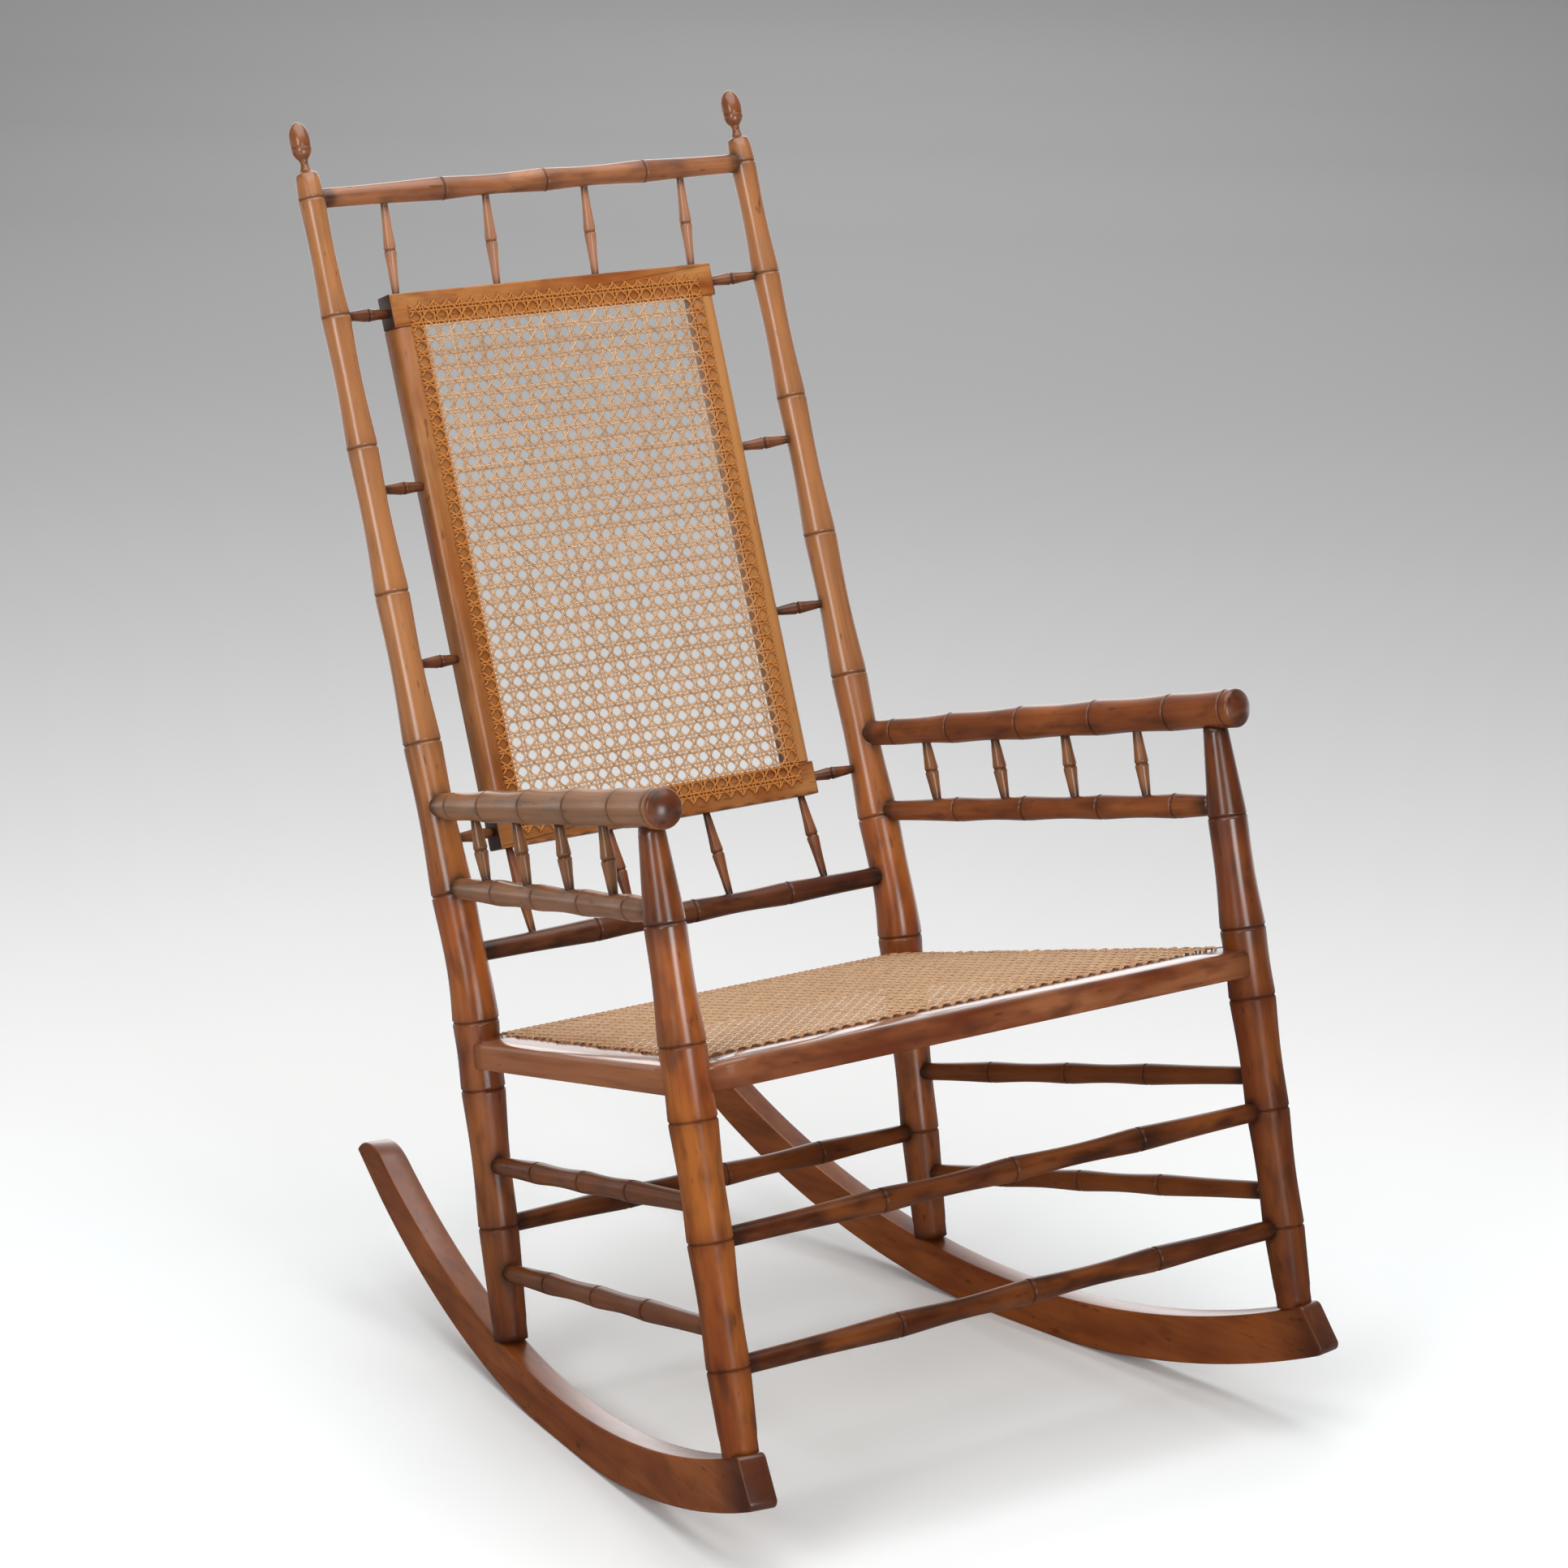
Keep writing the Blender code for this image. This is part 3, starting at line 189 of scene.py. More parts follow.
def addFloor():
    half = paper["size"] / 2
    mesh = bpy.data.meshes.new("floor")
    corners = [(-half, -half, 0), (half, -half, 0), (half, half, 0), (-half, half, 0)]
    mesh.from_pydata(corners, [], [(0, 1, 2, 3)])
    floor = bpy.data.objects.new("floor", mesh)
    bpy.context.collection.objects.link(floor)
    material, wire, shader = newMaterial("floorPaper")
    away = Vector(shot["forward"][:2]).normalized()
    place = wire.add("ShaderNodeNewGeometry", output="Position")
    along = place.dot((away.x, away.y, 0.0))
    across = place.dot((-away.y, away.x, 0.0)) * paper["squeeze"]
    far = (along * along + across * across) ** 0.5 * (1 / paper["reach"])
    glossy = wire.add("ShaderNodeLightPath", output="Is Glossy Ray")
    tone = far.ramp(*paper["fade"]) * (1 - glossy * far.ramp(*paper["mirror"]))
    tone = tone.blended(paper["cool"], far.ramp(*paper["coolReach"]), "MULTIPLY")
    glow = glossy * far.ramp(*paper["behind"])
    wire.plug(shader, {"Base Color": tone, "Roughness": paper["rough"], "Specular IOR Level": 0.0,
                       "Emission Color": glow, "Emission Strength": 1.0})
    mesh.materials.append(material)


addCamera()
addDome()
addLamps()
addFloor()
print("studio set")


# varnished maple: mottled along the grain, umber in the grooves and round the joints
woods = {
    "post": {"base": tint(144, 70, 21), "light": tint(172, 99, 37), "dark": tint(82, 39, 14),
             "pale": tint(168, 116, 73), "gloss": 0.26, "coat": 1.0, "mottle": 0.68, "polish": 0.23},
    "rail": {"base": tint(127, 71, 39), "light": tint(166, 104, 60), "dark": tint(75, 34, 15),
             "pale": tint(176, 125, 94), "gloss": 0.20, "coat": 0.60, "mottle": 0.85},
    "stretcher": {"base": tint(76, 35, 11), "light": tint(117, 63, 26), "dark": tint(45, 18, 6),
                  "gloss": 0.22, "coat": 0.18, "mottle": 0.8},
    "arm": {"base": tint(115, 58, 25), "light": tint(142, 79, 37), "dark": tint(71, 33, 13),
            "pale": tint(162, 122, 80), "gloss": 0.26, "coat": 0.75, "mottle": 0.8},
    "rocker": {"base": tint(124, 61, 21), "light": tint(144, 78, 31), "dark": tint(89, 41, 13),
               "gloss": 0.24, "coat": 1.0, "mottle": 0.4},
    "panel": {"base": tint(166, 92, 36), "light": tint(200, 139, 80), "dark": tint(120, 59, 23),
              "gloss": 0.28, "coat": 0.50, "mottle": 0.6},
    "seat": {"base": tint(114, 53, 21), "light": tint(157, 97, 59), "dark": tint(82, 38, 19),
             "gloss": 0.24, "coat": 1.0, "mottle": 0.7, "polish": 0.10}}
# noise in the wood: its scale with the grain last, its detail, and the values where it starts and is full
figure = {"cloud": ((28, 28, 9), 2, 0.36, 0.64), "mottle": ((75, 75, 26), 2, 0.48, 0.72),
          "streak": ((90, 90, 5), 3, 0.50, 0.74), "fibre": ((420, 420, 14), 2, 0.50, 0.80),
          "fleck": ((210, 210, 55), 1, 0.70, 0.76)}
# shares of each colour, and what each mark adds to the roughness
varnish = {"umber": tint(34, 16, 8), "glaze": (0.33, 0.27, 0.26, 1.0), "streak": 0.45, "fibre": 0.25,
           "fleck": 0.45, "joint": 0.75, "groove": 0.48, "streakRough": 0.10, "fibreRough": 0.06,
           "grooveRough": 0.25, "dullRough": 0.25, "bump": 0.04, "bumpDepth": 0.0002,
           "specular": 0.16, "polish": 0.27, "ior": 1.5}


def woodFinish(slot):
    look = woods[slot]
    material, wire, shader = newMaterial(slot + "Maple")
    grain = wire.mark("grain", "Vector")
    noise = {name: grain.noise(*values[:2]) for name, values in figure.items()}
    groove, joint, dull = wire.mark("groove"), wire.mark("joint"), wire.mark("dull")

    def shown(name, share):
        start, full = figure[name][2:]
        return noise[name].ramp((start, 0.0), (full, share))

    colour = shown("cloud", 1.0).between(look["base"], look["light"])
    colour = colour.blended(look["dark"], shown("mottle", look["mottle"]))
    # painted light: the pale mark lightens toward the pale colour, as sheen on the upper back posts, the
    # right arm and its rails, and as light on the seat's side rails and the stiles
    colour = colour.blended(look.get("pale", look["light"]), wire.mark("pale"))
    colour = colour.blended(look["dark"], shown("streak", varnish["streak"]))
    colour = colour.blended(look["dark"], shown("fibre", varnish["fibre"]))
    colour = colour.blended(varnish["umber"], shown("fleck", varnish["fleck"]))
    # painted shade: the shade mark darkens the wood by this colour, along with the dark varnish beside the
    # rings
    colour = colour.blended(varnish["glaze"], wire.mark("shade"), "MULTIPLY")
    colour = colour.blended(varnish["umber"], joint * varnish["joint"])
    colour = colour.blended(varnish["umber"], groove * varnish["groove"])
    rough = look["gloss"] + noise["streak"] * varnish["streakRough"] + noise["fibre"] * varnish["fibreRough"]
    rough = rough + groove * varnish["grooveRough"] + dull * varnish["dullRough"]
    relief = {"Strength": varnish["bump"], "Distance": varnish["bumpDepth"], "Height": noise["fibre"]}
    wire.plug(shader, {"Base Color": colour, "Roughness": rough, "Specular IOR Level": varnish["specular"],
                       "Coat Weight": (1 - groove) * (1 - dull) * look["coat"], "Coat IOR": varnish["ior"],
                       "Coat Roughness": look.get("polish", varnish["polish"]),
                       "Normal": wire.add("ShaderNodeBump", None, relief)})
    return material


# woven cane: tan skin with fine lines along each strand, painted shade where a strand sinks, golden where it
# lies on wood, partly as painted bounce light
canes = {"base": tint(183, 144, 108), "light": tint(214, 178, 142), "dark": tint(140, 87, 43),
         "onWood": tint(183, 113, 47), "gold": 0.9, "dip": 0.45, "gloss": 0.52, "lineRough": 0.15,
         "line": ((1600, 1600, 18), 2), "lineStops": ((0.50, 0.0), (0.75, 0.5)),
         "patch": ((30, 30, 30), 2), "patchStops": ((0.55, 0.0), (0.75, 0.4)),
         "bump": 0.2, "bumpDepth": 0.0002, "specular": 0.12}


def caneFinish():
    material, wire, shader = newMaterial("caneSkin")
    grain = wire.mark("grain", "Vector")
    line, patch = grain.noise(*canes["line"]), grain.noise(*canes["patch"])
    colour = wire.mark("tone").between(canes["base"], canes["light"])
    colour = colour.blended(canes["onWood"], wire.mark("onWood") * canes["gold"])
    colour = colour.blended(canes["dark"], line.ramp(*canes["lineStops"]))
    colour = colour.blended(canes["dark"], patch.ramp(*canes["patchStops"]))
    # painted shade: strands darken where they sink below the weave's top
    colour = colour.blended(canes["dark"], wire.mark("dip") * canes["dip"])
    relief = {"Strength": canes["bump"], "Distance": canes["bumpDepth"], "Height": line}
    wire.plug(shader, {"Base Color": colour, "Roughness": canes["gloss"] + line * canes["lineRough"],
                       "Specular IOR Level": canes["specular"],
                       "Normal": wire.add("ShaderNodeBump", None, relief)})
    return material


finishes = {slot: woodFinish(slot) for slot in woods}
finishes["cane"] = caneFinish()
print("finishes made")


# numbers and meshes
def ease(values, start, end):
    # 0 at start, 1 at end, straight between and level beyond
    return np.clip((values - start) / (end - start), 0, 1)


def peak(values, centre, half):
    return np.clip(1 - np.abs(values - centre) / half, 0, 1)


def unit(vector):
    return vector / np.linalg.norm(vector)


def travelAlong(path):
    return np.concatenate([[0], np.cumsum(np.linalg.norm(np.diff(path, axis=0), axis=1))])


def tubeFaces(rings, sides):
    # quads round a stack of rings
    faces = []
    for low in range(0, (rings - 1) * sides, sides):
        high = low + sides
        faces += [(low + k, low + (k + 1) % sides, high + (k + 1) % sides, high + k) for k in range(sides)]
    return faces


def capFaces(rings, sides):
    # a face over each end of such a stack
    return [tuple(range(sides))[::-1], tuple(range((rings - 1) * sides, rings * sides))]


def insideOut(points, faces):
    volume = 0.0
    for size in {len(face) for face in faces}:
        rows = np.array([face for face in faces if len(face) == size])
        for k in range(1, size - 1):
            a, b, c = points[rows[:, 0]], points[rows[:, k]], points[rows[:, k + 1]]
            volume += (a * np.cross(b, c)).sum()
    return volume < 0


def camel(node):
    first, *rest = node.split("_")
    return first + "".join(word.capitalize() for word in rest)


made = []
hands = (("left", 1), ("right", -1))
grainShift = np.array([0.37, 0.23, 0.61])  # cuts each piece from another place in the grain


def addPiece(node, points, faces, marks, slot, flat=()):
    # a mesh with its marks, riding on the chair in place of its CAD node
    name = camel(node)
    if insideOut(points, faces):
        faces = [face[::-1] for face in faces]
    mesh = bpy.data.meshes.new(name)
    mesh.from_pydata(points.tolist(), [], faces)
    for label, values in marks.items():
        values = np.asarray(values, np.float32)
        vector = values.ndim == 2
        layer = mesh.attributes.new(label, "FLOAT_VECTOR" if vector else "FLOAT", "POINT")
        layer.data.foreach_set("vector" if vector else "value", values.ravel())
    smooth = np.ones(len(mesh.polygons), bool)
    smooth[list(flat)] = False
    mesh.polygons.foreach_set("use_smooth", smooth)
    mesh.materials.append(finishes[slot])
    piece = bpy.data.objects.new(name, mesh)
    bpy.context.collection.objects.link(piece)
    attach(piece, "root")
    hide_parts(node)
    made.append(piece)


def endsOf(node, toward, ring=0.0012):
    # both ends of a straight turned solid, from the points within a ring's depth of them
    points = np.unique(np.round([v.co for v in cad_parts[node].data.vertices], 6), axis=0)
    middle = points.mean(0)
    axis = np.linalg.svd(points - middle, full_matrices=False)[2][0]
    axis = axis if axis @ np.array(toward) > 0 else -axis
    run = (points - middle) @ axis
    return points[run < run.min() + ring].mean(0), points[run > run.max() - ring].mean(0)


def frameAlong(start, end):
    # columns across, across, along
    along = unit(end - start)
    side = unit(np.cross(along, (0.0, 0.0, 1.0) if abs(along[2]) < 0.9 else (1.0, 0.0, 0.0)))
    return np.stack([side, np.cross(along, side), along], 1)


def placed(start, axes):
    # puts points that are counted along the axes' columns in their place
    return lambda local: start + local @ axes.T


# dark stain where one piece enters another
stain = {"rim": 0.0006, "fade": 0.0026, "postFade": 0.006}
joints = []  # places and radii of those holes


def jointShade(points):
    near = np.full(len(points), 1.0)
    for place, radius in joints:
        near = np.minimum(near, np.abs(np.linalg.norm(points - place, axis=1) - radius))
    return np.exp(-np.maximum(near - stain["rim"], 0.0) / stain["fade"])


# turned work: a groove on the crest of each ring and a slight waist between rings
turning = {"groove": 0.0011, "half": 0.0022, "waist": 0.014, "bulge": 1.3, "step": 0.006, "least": 0.00012,
           "fine": (0.0, 0.25, 0.5, 0.75, 1.0, 1.3, 2.0, 3.5, 6.0),  # stations by a ring, in half grooves
           "grooveStain": 1.5, "rimFade": 0.007, "rimShade": 0.35,
           "lip": 0.003}  # how far a turning stays straight outside its hole


def bamboo(low, rings, high, endWaist=0.0):
    # low, high and rings are (distance, radius); gives distances, radii and the groove and rim marks
    knots = [low, *rings, high]
    places, radii = zip(*knots)
    fine = np.array(turning["fine"]) * turning["half"]
    spots = [np.arange(low[0], high[0], turning["step"]), [high[0]]]
    spots += [place + side * fine for place, _ in rings for side in (1, -1)]
    z = np.unique(np.round(np.concatenate(spots), 6))
    z = z[(z >= low[0]) & (z <= high[0])]
    z = z[np.concatenate([[True], np.diff(z) > turning["least"]])]
    radius = np.interp(z, places, radii)
    for index, (a, b) in enumerate(zip(places, places[1:])):
        inside = (z > a) & (z < b)
        waist = turning["waist"] if 0 < index < len(knots) - 2 else endWaist
        radius[inside] -= waist * (b - a) * np.sin(np.pi * (z[inside] - a) / (b - a)) ** turning["bulge"]
    groove, rim = np.zeros(len(z)), np.zeros(len(z))
    for place, _ in rings:
        off = np.abs(z - place)
        cut = 0.5 + 0.5 * np.cos(np.pi * np.clip(off / turning["half"], 0, 1))
        radius -= turning["groove"] * cut
        groove = np.maximum(groove, cut ** turning["grooveStain"])
        rim = np.maximum(rim, np.exp(-off / turning["rimFade"]))
    return np.stack([z, radius, groove, rim])


def glazedAndShaded(rim, tone):
    # dark varnish beside each ring, and a tone all over, which on the posts and some rails is painted shade
    return np.clip(rim * turning["rimShade"] + tone, 0, 1)


def addTurned(node, slot, z, radius, sides, seed, place, **marks):
    # a mesh turned about z and then put in its place; each mark has a value for each ring
    angle = np.arange(sides) * 2 * np.pi / sides
    across = radius[:, None]
    grid = np.stack([across * np.cos(angle), across * np.sin(angle), np.repeat(z[:, None], sides, 1)], 2)
    local = np.concatenate([grid.reshape(-1, 3), [(0, 0, z[0]), (0, 0, z[-1])]])
    last, hub = (len(z) - 1) * sides, len(z) * sides
    faces = tubeFaces(len(z), sides)
    faces += [(hub, (k + 1) % sides, k) for k in range(sides)]
    faces += [(hub + 1, last + k, last + (k + 1) % sides) for k in range(sides)]
    points = place(local)
    marks = {name: np.concatenate([np.repeat(rings, sides), rings[[0, -1]]]) for name, rings in marks.items()}
    marks["grain"] = local + grainShift * seed
    marks["joint"] = np.maximum(jointShade(points), marks.get("joint", 0.0))
    addPiece(node, points, faces, marks, slot)


# straight turnings with both ends in a hole: rings are shares of the length between the holes
def rail(slot, end, ring, rings, tone, rightTone=None):
    return {"slot": slot, "end": end, "ring": ring, "rings": rings, "hole": 0.008, "waist": 0.004,
            "sides": 40, "left": tone, "right": tone if rightTone is None else rightTone}


def spindle(slot, end, ring, tone, rightTone=None):
    return dict(rail(slot, end, ring, (0.5,), tone, rightTone), hole=0.006, waist=0.010, sides=28)


# slot, radius at the ends and at a ring, a rail's rings, and tone, below 0 pale and above 0 dark;
# a second tone is the right side's
# some tones are painted light and shade: the lower back rail is darkened as painted shade, and the arm rails
# and arm spindles are paled as painted sheen, most on the right
kinds = {"front_stretcher": rail("stretcher", 0.0082, 0.0106, (0.27, 0.52, 0.77), 0.05),
         "side_stretcher": rail("stretcher", 0.0078, 0.0096, (0.21, 0.46, 0.71), -0.55),
         "back_stretcher": rail("stretcher", 0.0078, 0.0106, (0.27, 0.52, 0.77), 0.1),
         "crest_rail": rail("rail", 0.0086, 0.0106, (0.27, 0.52, 0.77), -0.2),
         "lower_back_rail": rail("rail", 0.0086, 0.0106, (0.27, 0.52, 0.77), 1.0),
         "arm_rail": rail("arm", 0.0090, 0.0112, (0.22, 0.44, 0.68, 0.91), 0.0, -0.35),
         "arm_spindle": spindle("arm", 0.0040, 0.0064, -0.3, -0.4),
         "side_spindle": spindle("rail", 0.0037, 0.0060, 0.6),
         "crest_spindle": spindle("rail", 0.0033, 0.0058, -0.85),
         "lower_spindle": spindle("rail", 0.0033, 0.0058, 0.3)}
tenoned = []  # the node, look, tone and ends of each


def listTenoned():
    across, forward, upward = (1, 0, 0), (0, -1, 0), (0, 0, 1)

    def put(kind, toward, *tail):
        node, look = "_".join((kind, *tail)), kinds[kind]
        start, end = endsOf(node, toward)
        run = unit(end - start) * look["hole"]
        joints.extend([(start + run, look["end"]), (end - run, look["end"])])
        tenoned.append((node, look, look["right" if "right" in tail else "left"], start, end))

    for level in ("upper", "lower"):
        put("front_stretcher", across, level)
        for label, _ in hands:
            put("side_stretcher", forward, label, level)
    for kind in ("back_stretcher", "crest_rail", "lower_back_rail"):
        put(kind, across)
    for label, side in hands:
        put("arm_rail", forward, label)
        for number in "1234":
            put("arm_spindle", upward, label, number)
            put("side_spindle", (-side, 0, 0), label, number)
    for number in "1234":
        put("crest_spindle", upward, number)
        put("lower_spindle", upward, number)


def addTenoned():
    for seed, (node, look, tone, start, end) in enumerate(tenoned):
        length, axes = np.linalg.norm(end - start), frameAlong(start, end)
        shown = look["hole"] + turning["lip"]
        rings = [(shown + (length - 2 * shown) * share, look["ring"]) for share in look["rings"]]
        z, radius, groove, rim = bamboo((0.0, look["end"]), rings, (length, look["end"]), look["waist"])
        radius = np.where((z < shown) | (z > length - shown), look["end"], radius)
        addTurned(node, look["slot"], z, radius, look["sides"], seed + 1, placed(start, axes),
                  groove=groove, shade=glazedAndShaded(rim, max(tone, 0.0)), pale=np.full(len(z), max(-tone, 0.0)))


# front posts: rings are heights and radii, and y is counted from the front feet
frontPost = {"foot": (0.297, 0.0, 0.10397), "lean": math.radians(16.4), "footRadius": 0.0150,
             "rings": ((0.1706, 0.0178), (0.2687, 0.0188), (0.362, 0.0202), (0.42, 0.0198), (0.513, 0.0172)),
             "topRadius": 0.0103, "armHeight": 0.601, "armRadius": 0.017, "armTenon": 0.013,
             "tenonShare": 0.6, "sides": 56, "seed": 60,
             # painted shade: each post darkened all over, one more than the other, and more at the foot and
             # under the arm; and a dull lower part
             "shade": {"left": 0.70, "right": 0.22}, "footShade": 0.40, "footReach": (0.30, 0.0),
             "topShade": 0.45, "topReach": (0.40, 0.43), "dull": 0.88, "dullReach": (0.37, 0.27)}


def underArm():
    # length of a front post from its foot to the underside of the arm
    rise = frontPost["armHeight"] - frontPost["foot"][2]
    return rise / math.cos(frontPost["lean"]) - frontPost["armRadius"]


def findFeet():
    # y of the front feet, from the tip of a front post's tenon
    tip = endsOf("front_post_left", (0, 0, 1))[1]
    return tip[1] - (underArm() + frontPost["armTenon"]) * math.sin(frontPost["lean"])


feetY = findFeet()
print("front feet at y", round(feetY, 5))


def footOf(post, side):
    return np.array(post["foot"]) * (side, 1, 1) + (0.0, feetY, 0.0)


def addFrontPosts():
    look, under = frontPost, underArm()
    run = np.array([0.0, math.sin(look["lean"]), math.cos(look["lean"])])
    axes = np.stack([(1.0, 0.0, 0.0), np.cross(run, (1.0, 0.0, 0.0)), run], 1)
    rings = [((height - look["foot"][2]) / run[2], radius) for height, radius in look["rings"]]
    top = under + look["armTenon"] * look["tenonShare"]
    z, radius, groove, rim = bamboo((0.0, look["footRadius"]), rings, (top, look["topRadius"]))
    radius = np.where(z < look["footRadius"], look["footRadius"], radius)
    radius = np.where(z > under - turning["lip"], look["topRadius"], radius)
    tone = ease(z, *look["footReach"]) * look["footShade"] + ease(z, *look["topReach"]) * look["topShade"]
    for seed, (label, side) in enumerate(hands):
        start = footOf(look, side)
        joints.append((start + run * under, look["topRadius"]))
        addTurned("front_post_" + label, "post", z, radius, look["sides"], seed + look["seed"],
                  placed(start, axes), groove=groove,
                  shade=glazedAndShaded(rim, tone + look["shade"][label]),
                  dull=ease(z, *look["dullReach"]) * look["dull"],
                  joint=np.exp(-np.abs(z - under) / stain["postFade"]))


# back posts: rings are distances from the bend's corner and radii; the finial is an acorn
backPost = {"foot": (0.2325, 0.4175, 0.04617), "bend": (0.48617, 0.346), "bendRadius": 0.30,
            "lower": math.radians(12.9), "upper": math.radians(22.6), "footRadius": 0.0148,
            "footRise": -0.30754,
            "rings": ((-0.2082, 0.0174), (-0.08739, 0.0192), (-0.02789, 0.0202), (0.08289, 0.0188),
                      (0.21523, 0.0169), (0.34694, 0.0154), (0.47555, 0.0140), (0.59174, 0.0131),
                      (0.69624, 0.0120)),
            "shoulder": 0.0215, "neckGap": 0.001, "neckRadius": 0.0104, "sides": 56, "seed": 70,
            # neck, cup and nut as distance above the shoulder and radius
            "acorn": ((0.0, 0.0098), (0.0012, 0.0086), (0.0030, 0.0058), (0.0050, 0.0045), (0.0085, 0.0037),
                      (0.0115, 0.0037), (0.0138, 0.0047), (0.0155, 0.0063), (0.0175, 0.0078),
                      (0.0198, 0.0087), (0.0222, 0.0090), (0.0238, 0.0089), (0.0243, 0.0086),
                      (0.0250, 0.0088), (0.0275, 0.0092), (0.0315, 0.0093), (0.0355, 0.0089),
                      (0.0395, 0.0078), (0.0430, 0.0060), (0.0452, 0.0041), (0.0464, 0.0022),
                      (0.0470, 0.0008)),
            "acornSteps": 4, "cupTop": 0.0243, "cupRim": 1.5, "nutRim": 1.3, "nutPale": 0.35,
            # stained lines under the nut and at the neck: place, half width and depth
            "cupLine": (0.0245, 0.0009, 0.7), "neckLine": (0.0032, 0.0022, 0.5),
            # painted shade at the foot and low down, more on the right post; painted sheen that pales the
            # upper posts, less on the nut
            "footReach": 0.28, "footShade": 0.7, "footDull": 0.8,
            "lowShade": {"left": 0.05, "right": 0.22}, "lowReach": (0.02, -0.03),
            "pale": 0.70, "paleReach": (0.06, 0.24)}


def backPlace(rise):
    # points on the bent axis and the lean there, at distances from the bend's corner
    look = backPost
    lower, upper, turn = look["lower"], look["upper"], look["bendRadius"]
    arc = turn * (upper - lower)
    reach = turn * math.tan((upper - lower) / 2)
    startY = feetY + look["bend"][0] - reach * math.sin(lower)
    startZ = look["bend"][1] - reach * math.cos(lower)
    travel = rise + arc / 2
    lean = lower + np.clip(travel, 0, arc) / turn
    before, after = np.minimum(travel, 0), np.maximum(travel - arc, 0)
    y = startY + math.sin(lower) * before + turn * (math.cos(lower) - np.cos(lean)) + math.sin(upper) * after
    z = startZ + math.cos(lower) * before + turn * (np.sin(lean) - math.sin(lower)) + math.cos(upper) * after
    return y, z, lean


def smoothLine(knots, count):
    # Catmull-Rom through (distance, radius) knots
    knots = np.array(knots)
    padded = np.concatenate([[2 * knots[0] - knots[1]], knots, [2 * knots[-1] - knots[-2]]])
    out = []
    for i in range(len(knots) - 1):
        a, b, c, d = padded[i:i + 4]
        slope, bend, twist = c - a, 2 * a - 5 * b + 4 * c - d, 3 * b - a - 3 * c + d
        for t in np.arange(count) / count:
            out.append(0.5 * (2 * b + slope * t + bend * t ** 2 + twist * t ** 3))
    return np.array(out + [knots[-1]])


def addBackPosts():
    look = backPost
    shoulder = look["rings"][-1][0] + look["shoulder"]
    neck = (shoulder - look["neckGap"], look["neckRadius"])
    acorn = smoothLine([(shoulder + rise, radius) for rise, radius in look["acorn"]], look["acornSteps"]).T
    above = acorn[0] - shoulder
    lines = [peak(above, place, half) * depth for place, half, depth in (look["cupLine"], look["neckLine"])]
    acornRim = np.where(above < look["cupTop"], look["cupRim"], look["nutRim"])
    finial = np.stack([*acorn, np.maximum(*lines), acornRim])
    post = bamboo((look["footRise"], look["footRadius"]), look["rings"], neck)
    z, radius, groove, rim = np.concatenate([post, finial], 1)
    radius = np.where(z < look["footRise"] + look["footRadius"], look["footRadius"], radius)
    foot = ease(z - look["footRise"], look["footReach"], 0.0)
    pale = np.where(z > shoulder, look["nutPale"], look["pale"]) * ease(z, *look["paleReach"])
    for seed, (label, side) in enumerate(hands):
        def place(local):
            y, height, lean = backPlace(local[:, 2])
            x, out = local[:, 0] + look["foot"][0] * side, local[:, 1]
            return np.stack([x, y + out * np.cos(lean), height - out * np.sin(lean)], 1)

        tone = foot * look["footShade"] + ease(z, *look["lowReach"]) * look["lowShade"][label]
        addTurned("back_post_" + label, "post", z, radius, look["sides"], seed + look["seed"], place,
                  groove=groove, shade=glazedAndShaded(rim, tone), dull=foot * look["footDull"], pale=pale,
                  joint=np.exp(-np.abs(z - look["footRise"]) / stain["postFade"]))


# arms: rings are shares of the length from the back post to the front post
arm = {"tenon": 0.008, "tenonRadius": 0.0108, "rings": (0.11, 0.28, 0.483, 0.692, 0.895, 1.045),
       "radii": (0.0122, 0.0140, 0.0152, 0.0158, 0.0162, 0.0168), "overhang": 0.034, "cover": 0.0188,
       "sides": 56, "seed": 80,
       # the domed end: a rounded rim and a low crown
       "rim": 0.0040, "rimTurn": math.radians(66), "crown": 0.0042, "crownHole": 0.06, "endSteps": 8,
       "endRim": (0.3, 1.2), "endShade": 0.6, "endDepth": 0.0075, "endFade": 0.003,
       # painted sheen: a pale share on the right arm only
       "pale": {"left": 0.0, "right": 0.42}}


def addArms():
    look, steps = arm, arm["endSteps"]
    for seed, (label, _) in enumerate(hands):
        start, end = endsOf("arm_" + label, (0, -1, 0))
        length, axes = np.linalg.norm(end - start), frameAlong(start, end)
        hidden = look["cover"] - look["tenon"]
        span = length + hidden - look["overhang"]
        rings = [(span * share - hidden, radius) for share, radius in zip(look["rings"], look["radii"])]
        neck, tip = length - look["rim"] - look["crown"], look["radii"][-1]
        turn = np.arange(1, steps + 1) / steps * look["rimTurn"]
        edgeZ, edgeRadius = neck + look["rim"] * np.sin(turn), tip - look["rim"] * (1 - np.cos(turn))
        out = np.linspace(1, look["crownHole"], steps + 1)[1:]
        crownZ, crownRadius = edgeZ[-1] + (length - edgeZ[-1]) * (1 - out ** 2), edgeRadius[-1] * out
        dome = np.stack([np.append(edgeZ, crownZ), np.append(edgeRadius, crownRadius), np.zeros(2 * steps),
                         np.linspace(*look["endRim"], 2 * steps)])
        z, radius, groove, rim = np.concatenate(
            [bamboo((0.0, look["tenonRadius"]), rings, (neck, tip)), dome], 1)
        radius = np.where(z < look["tenon"] + turning["lip"], look["tenonRadius"], radius)
        joints.append((start + axes[:, 2] * look["tenon"], look["tenonRadius"]))
        onEnd = z - length + look["endDepth"]
        addTurned("arm_" + label, "arm", z, radius, look["sides"], seed + look["seed"],
                  placed(start, axes), groove=groove,
                  shade=glazedAndShaded(rim, ease(onEnd, 0.0, look["endFade"]) * look["endShade"]),
                  pale=np.where(onEnd > 0, 0.0, look["pale"][label]))


